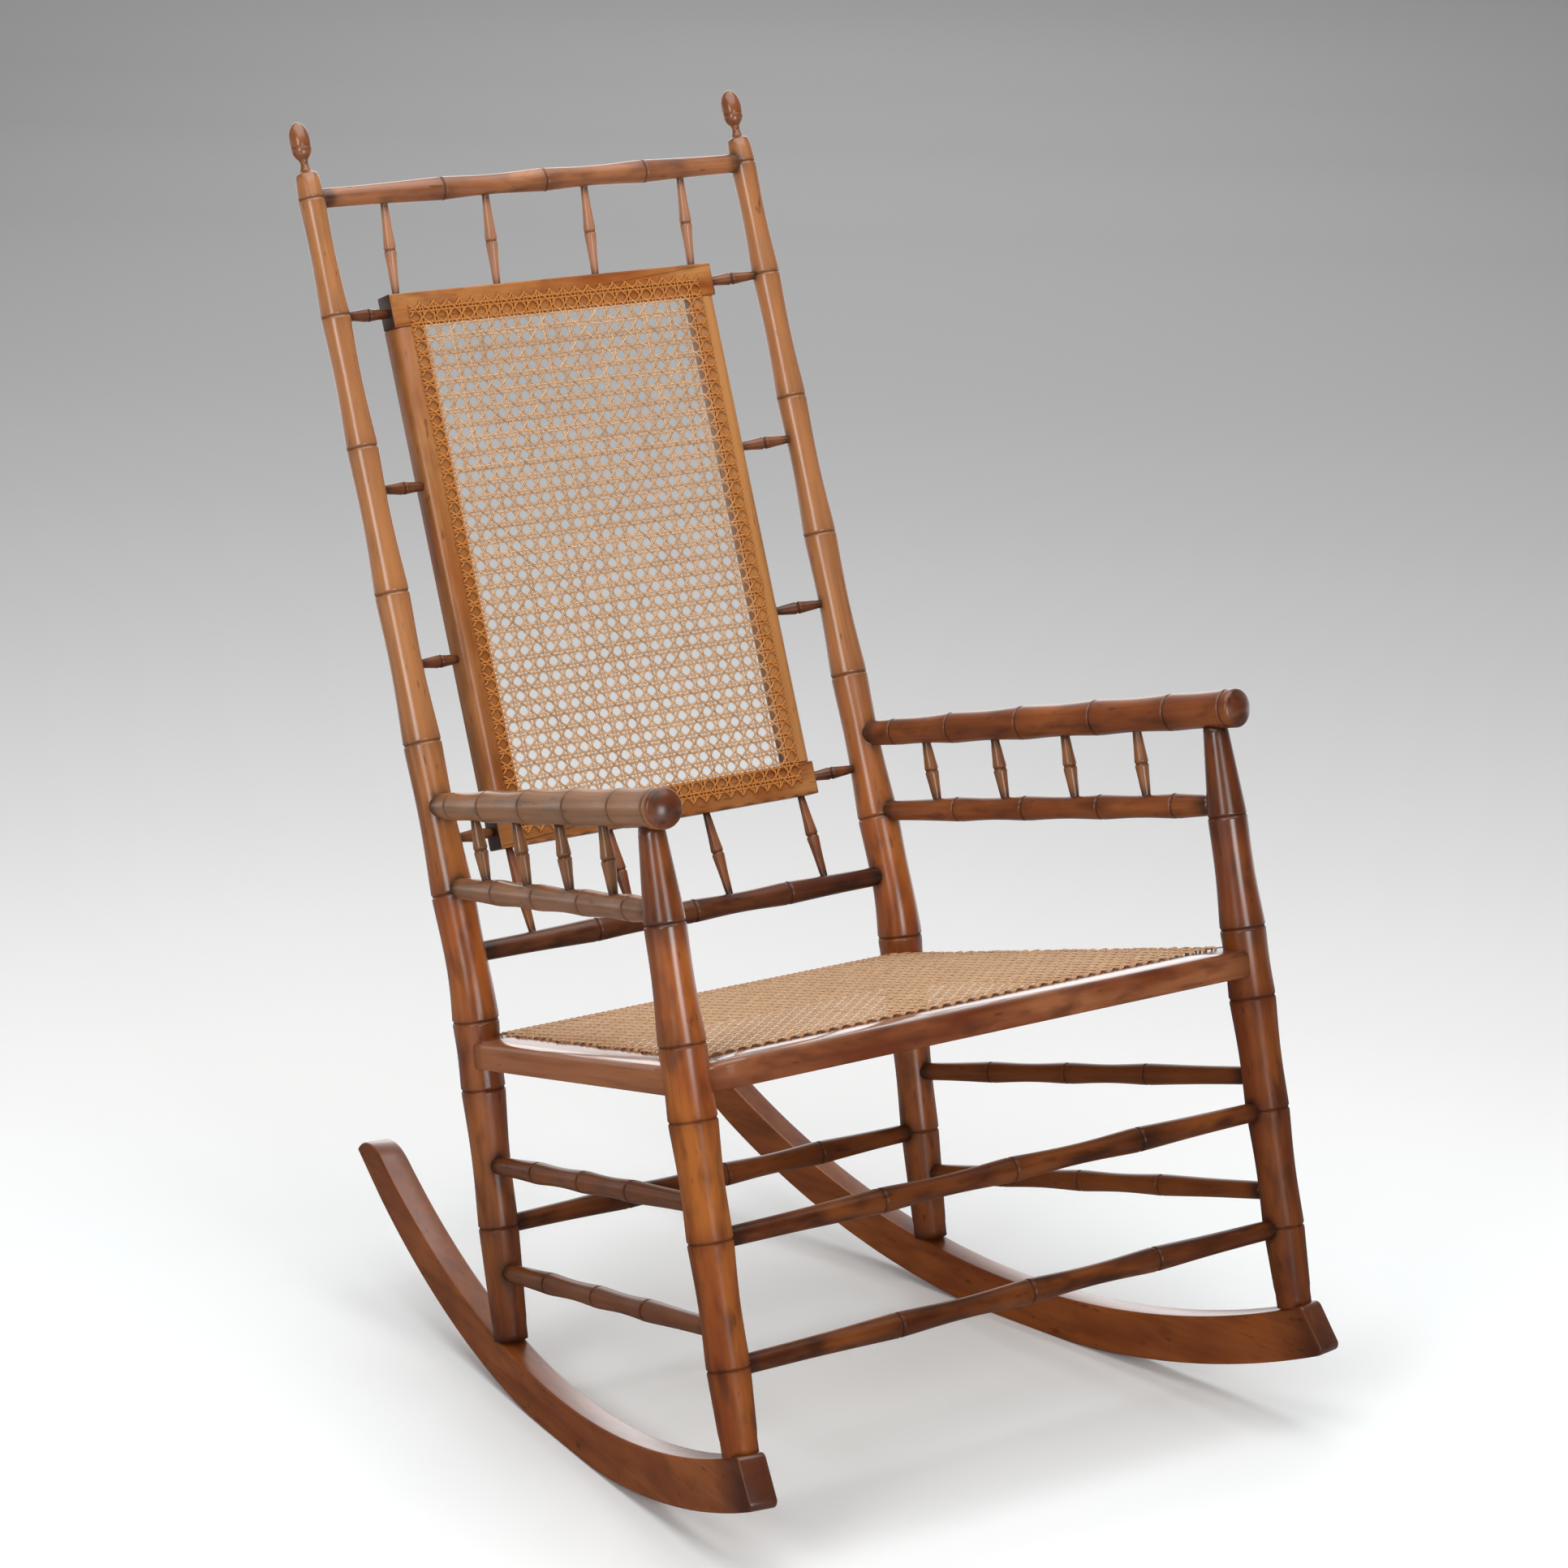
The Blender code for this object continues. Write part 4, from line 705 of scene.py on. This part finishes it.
# flat work: boards sawn to an outline
def boardMesh(outline, low, high, edge, steps=4, inset=0.0006):
    # outline runs anticlockwise in the board's plane; low and high are its faces, with rounded edges
    outline = np.array(outline, float)

    def outward(run):
        return np.stack([run[:, 1], -run[:, 0]], 1) / np.linalg.norm(run, axis=1)[:, None]

    first, second = outward(outline - np.roll(outline, 1, 0)), outward(np.roll(outline, -1, 0) - outline)
    out = (first + second) / (1 + (first * second).sum(1))[:, None]
    loops = []
    for face, way in ((low, 1), (high, -1)):
        rows = [(edge + inset, face)]
        for turn in np.linspace(0, math.pi / 2, steps + 1):
            rows.append((edge * (1 - math.sin(turn)), face + way * edge * (1 - math.cos(turn))))
        loops += rows[::way]
    count = len(outline)
    rings = [np.column_stack([outline - out * back, np.full(count, level)]) for back, level in loops]
    return np.concatenate(rings), tubeFaces(len(loops), count) + capFaces(len(loops), count)


def addBoard(node, slot, local, alongAxis, points, faces, seed, **marks):
    # the grain runs along one axis of the local points; the two caps are flat
    order = [axis for axis in range(3) if axis != alongAxis] + [alongAxis]
    marks["grain"] = local[:, order] + grainShift * seed
    addPiece(node, points, faces, marks, slot, (len(faces) - 2, len(faces) - 1))


def cornerArc(centre, radius, start, steps):
    turn = np.radians(start) + np.linspace(0, np.pi / 2, steps + 1)
    return [(centre[0] + radius * math.cos(a), centre[1] + radius * math.sin(a)) for a in turn]


def fillet(before, corner, after, size, steps=6):
    inward, outward = unit(before - corner), unit(after - corner)
    turn = math.acos(float(inward @ outward)) / 2
    hub = corner + unit(inward + outward) * size / math.sin(turn)
    reach = size / math.tan(turn)
    a, b = corner + inward * reach - hub, corner + outward * reach - hub
    sweep = math.atan2(a[0] * b[1] - a[1] * b[0], float(a @ b))
    aside = np.array([-a[1], a[0]])
    spin = [sweep * k / steps for k in range(steps + 1)]
    return [hub + a * math.cos(s) + aside * math.sin(s) for s in spin]


# rockers: places along a rocker are counted from the front foot
rocker = {"radius": 0.80, "contact": 0.2985, "restHalf": 0.084, "restDrop": 0.0022, "restSoft": 0.0014,
          "toe": 0.044, "tail": 0.7255, "thickness": 0.026, "depthFront": 0.0445, "depthBack": 0.038,
          "tailRound": 0.048, "tailSteps": 12, "toeRound": 0.006, "seatLength": 0.037, "edge": 0.0026,
          "facet": 0.010, "seed": 90,
          # painted shade at the toe and darker toward the tail, stained end grain, dull faces
          "toeShade": 0.9, "toePlace": (-0.03, 0.05), "tailShade": 1.5, "tailReach": (0.55, 1.55),
          "endStain": 0.7, "endReach": (-0.016, -0.036), "dull": 0.88, "faceDepth": 0.001}


def rockerOutline():
    look = rocker
    radius, drop = look["radius"], look["restDrop"]
    reach = np.linalg.norm(footOf(backPost, 1)[:2] - footOf(frontPost, 1)[:2])
    rest = math.asin(look["restHalf"] / (radius + drop))
    centre = np.array([look["contact"], (radius + drop) * math.cos(rest)])
    toe = math.asin((-look["toe"] - look["contact"]) / radius)
    tail = math.asin((look["tail"] - look["contact"]) / radius)
    front = math.asin(-look["contact"] / (radius - look["depthFront"]))
    back = math.asin((reach - look["contact"]) / (radius - look["depthBack"]))
    half = look["seatLength"] / 2 / (radius - look["depthFront"])

    def depth(angle):
        share = (angle - front) / (back - front)
        return look["depthFront"] + (look["depthBack"] - look["depthFront"]) * share

    def at(angle, rise):
        return centre + (radius - rise) * np.array([math.sin(angle), -math.cos(angle)])

    def top(angle):
        return at(angle, depth(angle))

    def spaced(a, b):
        return np.linspace(a, b, max(2, round(abs(b - a) * radius / look["facet"])))[1:-1]

    def soft(height):
        return 0.5 * (height + math.sqrt(height * height + look["restSoft"] ** 2))

    def sole(angle):
        # the curve flattens where the rocker rests
        place = at(angle, 0.0)
        place[1] = soft(place[1]) - soft(at(0.0, 0.0)[1])
        return place

    begin = tail - look["tailRound"] / radius
    outline = [sole(angle) for angle in spaced(toe, begin)]
    for turn in np.linspace(0, math.pi / 2, look["tailSteps"] + 1):
        outline.append(at(begin + (tail - begin) * math.cos(turn), depth(begin) * math.sin(turn)))
    outline += [top(angle) for angle in spaced(begin, back + half)]
    outline += [top(back + half), top(back - half)]
    outline += [top(angle) for angle in spaced(back - half, front + half)]
    outline.append(top(front + half))
    toeTop, toePoint = top(front - half), at(toe, 0.0)
    outline += fillet(outline[-1], toeTop, toePoint, look["toeRound"])
    outline += fillet(toeTop, toePoint, outline[0], look["toeRound"])
    return outline


def addRockers():
    look = rocker
    half = look["thickness"] / 2
    local, faces = boardMesh(rockerOutline(), -half, half, look["edge"])
    along = local[:, 0]
    shade = peak(along, *look["toePlace"]) * look["toeShade"]
    shade += ease(along, *look["tailReach"]) * look["tailShade"]
    dull = np.where(np.abs(local[:, 2]) > half - look["faceDepth"], look["dull"], 0.0)
    for seed, (label, side) in enumerate(hands):
        feet = [footOf(post, side) for post in (frontPost, backPost)]
        run = unit((feet[1] - feet[0]) * (1, 1, 0))
        across = np.cross(run, (0.0, 0.0, 1.0))
        start = feet[0] * (1, 1, 0)
        points = start + local[:, :1] * run + local[:, 1:2] * (0, 0, 1) + local[:, 2:] * across
        joint = np.minimum(ease(along, *look["endReach"]), look["endStain"])
        for foot in feet:
            away = np.linalg.norm(points - foot, axis=1) - frontPost["footRadius"]
            joint = np.maximum(joint, np.exp(-np.maximum(away, 0) / stain["postFade"]))
        addBoard("rocker_" + label, "rocker", local, 0, points, faces, seed + look["seed"],
                 shade=shade, dull=dull, joint=joint)


# caned back panel: two rails with a stile between them at each side
panel = {"centre": (0.0, 0.63544, 0.67467), "lean": backPost["upper"], "width": 0.3474, "height": 0.494,
         "thickness": 0.020, "rail": 0.030, "stile": 0.0295, "gap": 0.0003}
panelRail = {"edge": 0.0016, "corner": 0.0012, "cornerSteps": 2, "columns": 90, "margin": 0.003, "seed": 100,
             "shade": 0.3, "bottomShade": (0.25, 0.85), "figure": 300, "drift": 47, "driftDepth": 2,
             "endStain": 1.25, "endReach": (-0.0011, -0.0005)}
panelStile = {"round": 0.010, "roundSteps": 8, "hollow": 0.0095, "edge": 0.0008, "edgeSteps": 2, "seed": 110,
              # painted light and shade: the two stiles are lighter and darker copies, the outer side is
              # shaded, and the inside beside the cane is lit
              "corner": 0.002, "cornerSteps": 3, "shade": {"left": 0.0, "right": 0.15},
              "outerShade": 0.4, "outerReach": (-0.004, -0.001), "innerPaintedLight": 1.0, "innerDepth": 0.001,
              "pale": {"left": 0.9, "right": 0.15}, "endStain": 0.6, "endFade": 0.0012}


def panelPoints(local):
    # x across, y out of the front face, z up the panel
    c, s = math.cos(panel["lean"]), math.sin(panel["lean"])
    axes = np.array([(1.0, 0.0, 0.0), (0.0, -c, s), (0.0, s, c)])
    return np.array(panel["centre"]) + (0.0, feetY, 0.0) + local @ axes


def addPanelRails():
    look, r, steps = panelRail, panelRail["corner"], panelRail["cornerSteps"]
    wide, tall, deep = panel["width"] / 2, panel["height"] / 2, panel["thickness"] / 2
    inner = tall - panel["rail"]
    grid = np.linspace(-wide + look["margin"], wide - look["margin"], look["columns"])
    rails = (("panel_top_rail", inner, tall), ("panel_bottom_rail", -tall, -inner))
    for seed, (node, low, high) in enumerate(rails):
        outline = cornerArc((wide - r, high - r), r, 0, steps) + [(x, high) for x in grid[::-1]]
        outline += cornerArc((-wide + r, high - r), r, 90, steps)
        outline += cornerArc((-wide + r, low + r), r, 180, steps) + [(x, low) for x in grid]
        outline += cornerArc((wide - r, low + r), r, 270, steps)
        board, faces = boardMesh(outline, -deep, deep, look["edge"])
        local = board[:, [0, 2, 1]]
        x = local[:, 0]
        shade = np.full(len(x), look["shade"])
        if node == "panel_bottom_rail":
            streaks = np.sin(x * look["figure"] + look["driftDepth"] * np.sin(x * look["drift"])) * 0.5 + 0.5
            shade = np.interp(streaks, (0, 1), look["bottomShade"])
        points = panelPoints(local)
        ends = ease(np.abs(x) - wide, *look["endReach"]) * look["endStain"]
        addBoard(node, "panel", local, 0, points, faces, seed + look["seed"], shade=shade,
                 joint=np.maximum(jointShade(points), ends))


def addPanelStiles():
    look, r, steps, big = panelStile, panelStile["corner"], panelStile["cornerSteps"], panelStile["round"]
    wide, deep = panel["width"] / 2, panel["thickness"] / 2
    inner = wide - panel["stile"]
    length = panel["height"] / 2 - panel["rail"] - panel["gap"]
    outline = cornerArc((wide - big, deep - big), big, 0, look["roundSteps"])
    outline += cornerArc((inner + r, deep - r), r, 90, steps)
    outline += [(inner, -deep + look["hollow"]), (inner + look["hollow"], -deep)]
    outline += cornerArc((wide - r, -deep + r), r, 270, steps)
    board, faces = boardMesh(outline, -length, length, look["edge"], look["edgeSteps"])
    for seed, (label, side) in enumerate(hands):
        local = board * (side, 1, 1)
        points = panelPoints(local)
        out = np.abs(local[:, 0])
        ends = np.exp(-np.maximum(length - np.abs(local[:, 2]), 0) / look["endFade"]) * look["endStain"]
        # painted shade on the outer side and one stile, painted light on the inside and the other stile
        addBoard("panel_stile_" + label, "panel", local, 2, points, faces, seed + look["seed"],
                 shade=look["shade"][label] + ease(out - wide, *look["outerReach"]) * look["outerShade"],
                 pale=np.where(out < inner + look["innerDepth"], look["innerPaintedLight"], look["pale"][label]),
                 joint=np.maximum(jointShade(points), ends))


# seat frame: four mitred rails, with a crown as (distance in from the outer edge, drop from the top)
seat = {"front": 0.393, "frontY": 0.08507, "slope": math.radians(14.6), "depth": 0.40165,
        "postFront": frontPost["foot"][0], "postBack": backPost["foot"][0], "rail": 0.048,
        "thickness": 0.025, "offset": 0.0155, "side": 0.012, "mitre": 0.0005, "edge": 0.0015, "bevel": 0.3,
        "crown": ((0.027, 0.0), (0.022, 0.0001), (0.016, 0.0004), (0.010, 0.0009), (0.005, 0.0016),
                  (0.0022, 0.0025), (0.0010, 0.0035), (0.0003, 0.0050), (0.0, 0.0072)),
        "caneInset": 0.029, "steps": 12, "seed": 120, "dull": 0.92, "dullReach": (-0.0044, -0.0056),
        # each rail's pale and dark share: painted light on the side rails, painted shade on the front rail
        "rails": {"seat_front_rail": (0.0, 0.34), "seat_side_rail_left": (0.9, 0.0),
                  "seat_back_rail": (0.0, 0.0), "seat_side_rail_right": (0.9, 0.0)}}


def seatPoints(local):
    # x across, y back along the seat, z out of its top
    c, s = math.cos(seat["slope"]), math.sin(seat["slope"])
    axes = np.array([(1.0, 0.0, 0.0), (0.0, c, -s), (0.0, s, c)])
    return np.array((0.0, feetY + seat["frontY"], seat["front"])) + local @ axes


def seatCorners(inset):
    taper = seat["postFront"] - seat["postBack"]
    slant = math.hypot(taper, seat["depth"]) / seat["depth"]

    def half(y):
        return seat["postFront"] - taper * y / seat["depth"] + (seat["side"] - inset) * slant

    near, far = inset - seat["offset"], seat["depth"] + seat["offset"] - inset
    return np.array([(-half(near), near), (half(near), near), (half(far), far), (-half(far), far)])


def seatSection():
    # distance in from the outer edge, and height
    half, wide, edge, bevel = seat["thickness"] / 2, seat["rail"], seat["edge"], seat["bevel"] * seat["edge"]
    inner = [(wide, half - edge), (wide - bevel, half - bevel), (wide - edge, half), (wide - 2 * edge, half)]
    crown = [(inset, half - drop) for inset, drop in seat["crown"]]
    outer = [(0.0, -half + edge), (bevel, -half + bevel), (edge, -half), (2 * edge, -half)]
    return np.array(inner + crown + outer + [(inset, -level) for inset, level in inner[::-1]])


def addSeatFrame():
    outer, inner, section = seatCorners(0.0), seatCorners(seat["rail"]), seatSection()
    front, back, depth = seat["postFront"], seat["postBack"], seat["depth"]
    posts = np.array([(-front, 0.0), (front, 0.0), (back, depth), (-back, depth)])
    share = np.linspace(0, 1, seat["steps"] + 1)[:, None, None]
    for a, (node, (pale, shade)) in enumerate(seat["rails"].items()):
        b = (a + 1) % len(posts)
        run = unit(outer[b] - outer[a])
        trim = run * seat["mitre"] * 0.5
        rims = []
        for corner, way in ((a, trim), (b, -trim)):
            foot = outer[corner] + run * ((posts[corner] - outer[corner]) @ run)
            knots = [0.0, np.linalg.norm(posts[corner] - foot), seat["rail"]]
            line = np.array([foot, posts[corner] + way, inner[corner] + way])
            rims.append(np.column_stack([np.interp(section[:, 0], knots, line[:, k]) for k in (0, 1)]))
        plan = rims[0] * (1 - share) + rims[1] * share
        local = np.concatenate([np.column_stack([row, section[:, 1]]) for row in plan])
        faces = tubeFaces(len(plan), len(section)) + capFaces(len(plan), len(section))
        points = seatPoints(local)
        along, across = local[:, :2] @ run, local[:, :2] @ np.array([-run[1], run[0]])
        turned = np.column_stack([along, across, local[:, 2]])
        dull = ease(local[:, 2] - seat["thickness"] / 2, *seat["dullReach"]) * seat["dull"]
        addBoard(node, "seat", turned, 0, points, faces, a + seat["seed"], pale=np.full(len(local), pale),
                 shade=np.full(len(local), shade), dull=dull, joint=jointShade(points))


# hand-woven cane: pairs both ways and one strand on each diagonal
weave = {"pair": 0.0016, "pairEnd": 0.35, "width": 0.0018, "widths": (0.92, 1.06), "thick": 0.0008,
         "lift": 0.00125, "over": 0.00045, "diagonal": 0.00075, "dip": 0.0022, "dipLength": 0.0022,
         # dark: how far below the top a strand takes the painted shade
         "dipCurve": 1.5, "dark": 0.0009, "shortest": 0.012, "far": 10.0, "seed": 7, "grain": (0, 3),
         "section": ((-0.5, 0.0), (0.0, -0.35), (0.5, 0.0), (0.22, 0.5), (-0.22, 0.5)),
         # fine steps at a strand's ends, the room kept beyond them, and steps in each cell
         "pairEnds": (0.0, 0.0011, 0.0022), "pairRoom": 0.003, "pairSteps": (-0.30, 0.0, 0.30, 0.5),
         "diagonalEnds": (0.0, 0.0012, 0.0024), "diagonalRoom": 0.0034, "diagonalSteps": 4,
         # loops on the hidden face
         "loopSteps": 7, "loopSag": 0.0009, "loopRise": 0.0016, "loopCurve": 6,
         # how far into the opening the strands are golden, beside the stile on the positive side: painted
         # light for the stile's inside seen through the holes
         "edgeReach": 0.8, "edgePaintedLight": 0.6}
backWeave = {"columns": 21, "rows": 33, "sideBorder": 0.97, "endBorder": 1.6,
             "tones": (0.0, 0.8), "gold": 1.0}
seatWeave = {"pitch": 0.0131, "firstPair": 1.5, "tones": (0.6, 1.4), "gold": 0.25}


def clipLine(polygon, place, way):
    # stretch of a line inside a convex anticlockwise polygon
    low, high = -weave["far"], weave["far"]
    for a, b in zip(polygon, np.roll(polygon, -1, 0)):
        edge = b - a
        inward = np.array([-edge[1], edge[0]])
        slope, offset = inward @ way, inward @ (place - a)
        if abs(slope) < 1e-12:
            if offset < 0:
                return None
            continue
        cut = -offset / slope
        low, high = (max(low, cut), high) if slope > 0 else (low, min(high, cut))
    return (low, high) if high - low > weave["shortest"] else None


def ribbon(path, width, thick):
    # closed strip of lens section along a path of (x, y, z)
    run = np.gradient(path, axis=0)
    flat = run[:, :2] / np.maximum(np.linalg.norm(run[:, :2], axis=1), 1e-9)[:, None]
    side = np.column_stack([-flat[:, 1], flat[:, 0], np.zeros(len(path))])
    up = np.cross(run, side)
    up /= np.linalg.norm(up, axis=1)[:, None]
    up *= np.sign(up[:, 2:]) + (up[:, 2:] == 0)
    points = np.stack([path + side * a * width + up * b * thick for a, b in weave["section"]], 1)
    rings, sides = len(path), len(weave["section"])
    return points.reshape(-1, 3), tubeFaces(rings, sides) + capFaces(rings, sides)


def stations(a, b, between, ends, room):
    # fine steps at both ends of a strand, and the places between that leave them room
    ends = np.array(ends)
    return np.concatenate([a + ends, between[(between > a + room) & (between < b - room)], (b - ends)[::-1]])


def diveEnds(path):
    # a strand goes down into its hole at both ends
    travel = travelAlong(path[:, :2])
    gap = np.minimum(travel, travel[-1] - travel)
    path[:, 2] -= weave["dip"] * ease(gap, weave["dipLength"], 0.0) ** weave["dipCurve"]
    return path


def pairStrand(polygon, origin, pitch, axis, number, member):
    # one strand of a pair, at a number of pitches along the axis that it crosses
    other, base, pair = pitch[1 - axis], origin[1 - axis], weave["pair"]
    line = origin[axis] + number * pitch[axis]
    place, way = np.zeros(2), np.zeros(2)
    place[axis], way[1 - axis] = line, 1.0
    cut = clipLine(polygon, place, way)
    if cut is None:
        return None
    a, b = cut
    cells = np.arange(math.floor((a - base) / other) - 1, math.ceil((b - base) / other) + 2)
    between = [base + (cells + share) * other for share in weave["pairSteps"]]
    between += [base + cells * other - pair, base + cells * other + pair]
    marks = stations(a, b, np.sort(np.concatenate(between)), weave["pairEnds"], weave["pairRoom"])
    cell = (marks - base) / other
    off = (cell - np.round(cell)) * other
    swing = np.sin(np.clip(off / pair, -1, 1) * np.pi / 2)
    swing *= ease(np.abs(off), weave["pairSteps"][2] * other, pair)
    aside = 1 if member else -1
    gap = np.minimum(marks - a, b - marks)
    spread = pair * (weave["pairEnd"] + (1 - weave["pairEnd"]) * ease(gap, 0.0, 0.5 * other))
    path = np.zeros((len(marks), 3))
    path[:, 1 - axis] = marks
    path[:, axis] = line + spread * aside
    path[:, 2] = weave["lift"] - swing * weave["over"] * aside * (1 if axis == 0 else -1)
    return diveEnds(path)


def diagonalStrand(polygon, origin, pitch, kind, number):
    # kind is 1 for a rising diagonal and -1 for a falling one
    way = unit(np.array([pitch[0], pitch[1] * kind]))
    place = origin + np.array([(number + 0.5) * pitch[0], 0.0])
    cut = clipLine(polygon, place, way)
    if cut is None:
        return None
    a, b = cut
    step = pitch[0] / way[0] / weave["diagonalSteps"]
    between = np.arange(math.floor(a / step) - 1, math.ceil(b / step) + 2) * step
    marks = stations(a, b, between, weave["diagonalEnds"], weave["diagonalRoom"])
    spot = place + marks[:, None] * way
    wave = np.cos(2 * np.pi * (spot[:, 0] - origin[0]) / pitch[0])
    return diveEnds(np.column_stack([spot, weave["lift"] + kind * wave * weave["diagonal"]]))


def weaveStrands(polygon, origin, pitch):
    # every strand as a path in the panel's plane; origin is a crossing of pairs
    low, high = polygon.min(0), polygon.max(0)
    paths = []
    for axis in (0, 1):
        first = math.floor((low[axis] - origin[axis]) / pitch[axis])
        last = math.ceil((high[axis] - origin[axis]) / pitch[axis])
        for number in range(first, last + 1):
            paths += [pairStrand(polygon, origin, pitch, axis, number, member) for member in (0, 1)]
    most = 2 * math.ceil(sum((high - low) / pitch))  # more than reach across, from any origin inside
    for kind in (1, -1):
        paths += [diagonalStrand(polygon, origin, pitch, kind, number) for number in range(-most, most + 1)]
    return [path for path in paths if path is not None]


def underLoops(polygon, pitch, level):
    # short runs from hole to hole on the hidden face
    t = np.linspace(0, 1, weave["loopSteps"])
    sag = weave["loopSag"] * np.sin(np.pi * t) ** 0.5
    height = level - sag + weave["loopRise"] * np.abs(2 * t - 1) ** weave["loopCurve"]
    loops = []
    for a, b in zip(polygon, np.roll(polygon, -1, 0)):
        length = np.linalg.norm(b - a)
        count = int(length // pitch)
        start = (length - count * pitch) / 2
        for index in range(count):
            spot = a + (b - a) / length * (start + (index + t[:, None]) * pitch)
            loops.append(np.column_stack([spot, height]))
    return loops


def insideOf(opening, local):
    # an opening is (half width, place) at its near and far edges
    (nearHalf, near), (farHalf, far) = opening
    share = (local[:, 1] - near) / (far - near)
    half = nearHalf + (farHalf - nearHalf) * share
    return (share > 0) & (share < 1) & (np.abs(local[:, 0]) < half)


def addWeave(node, strands, pitch, opening, toWorld, look):
    points, faces, grain, tone, wood = [], [], [], [], []
    total, width = 0, weave["width"]
    dice = np.random.default_rng(weave["seed"])
    acrossSection = [a for a, _ in weave["section"]]
    for path in strands:
        local, rows = ribbon(path, width * dice.uniform(*weave["widths"]), weave["thick"])
        points.append(local)
        faces += [tuple(total + k for k in row) for row in rows]
        count = len(local)
        along = np.repeat(travelAlong(path), len(acrossSection))
        across = np.tile(acrossSection, len(path)) * width + dice.uniform(*weave["grain"])
        grain.append(np.column_stack([across, np.full(count, dice.uniform(*weave["grain"])), along]))
        tone.append(np.full(count, dice.uniform(*look["tones"])))
        # painted light: strands inside the opening beside the positive stile turn golden
        edge = (local[:, 0] - opening[0][0]) / pitch + weave["edgeReach"]
        wood.append(np.where(insideOf(opening, local), np.clip(edge, 0, weave["edgePaintedLight"]), 1.0))
        total += count
    local = np.concatenate(points)
    # dip is painted shade where a strand sinks; onWood is golden, partly painted light
    marks = {"grain": np.concatenate(grain), "tone": np.concatenate(tone),
             "onWood": np.concatenate(wood) * look["gold"],
             "dip": ease(weave["lift"] - local[:, 2], 0.0, weave["dark"])}
    addPiece(node, toWorld(local), faces, marks, "cane")


def addBackCane():
    look = backWeave
    wide, tall = panel["width"] / 2 - panel["stile"], panel["height"] / 2 - panel["rail"]
    px, py = 2 * wide / look["columns"], 2 * tall / look["rows"]
    w, h = wide + look["sideBorder"] * px, tall + look["endBorder"] * py
    polygon = np.array([(-w, -h), (w, -h), (w, h), (-w, h)])
    front = panel["thickness"] / 2 + panel["gap"]

    def toWorld(local):
        return panelPoints(np.column_stack([local[:, 0], local[:, 2] + front, local[:, 1]]))

    strands = weaveStrands(polygon, np.array([-wide, -tall]), (px, py))
    strands += underLoops(polygon, (px + py) / 2, -panel["thickness"])
    addWeave("back_cane", strands, px, ((wide, -tall), (wide, tall)), toWorld, look)


def addSeatCane():
    pitch = seatWeave["pitch"]
    border, inner = seatCorners(seat["caneInset"]), seatCorners(seat["rail"])
    level = seat["thickness"] / 2 + panel["gap"]

    def toWorld(local):
        return seatPoints(local + (0, 0, level))

    origin = np.array([0.0, border[0][1] + seatWeave["firstPair"] * pitch])
    strands = weaveStrands(border, origin, (pitch, pitch)) + underLoops(border, pitch, -seat["thickness"])
    addWeave("seat_cane", strands, pitch, (inner[1], inner[2]), toWorld, seatWeave)


listTenoned()
addArms()
addFrontPosts()
addBackPosts()
addTenoned()
print("turnings:", len(made), "pieces")
addRockers()
addPanelRails()
addPanelStiles()
addSeatFrame()
print("boards:", len(made), "pieces")
addBackCane()
addSeatCane()
print("cane woven:", len(made), "pieces")
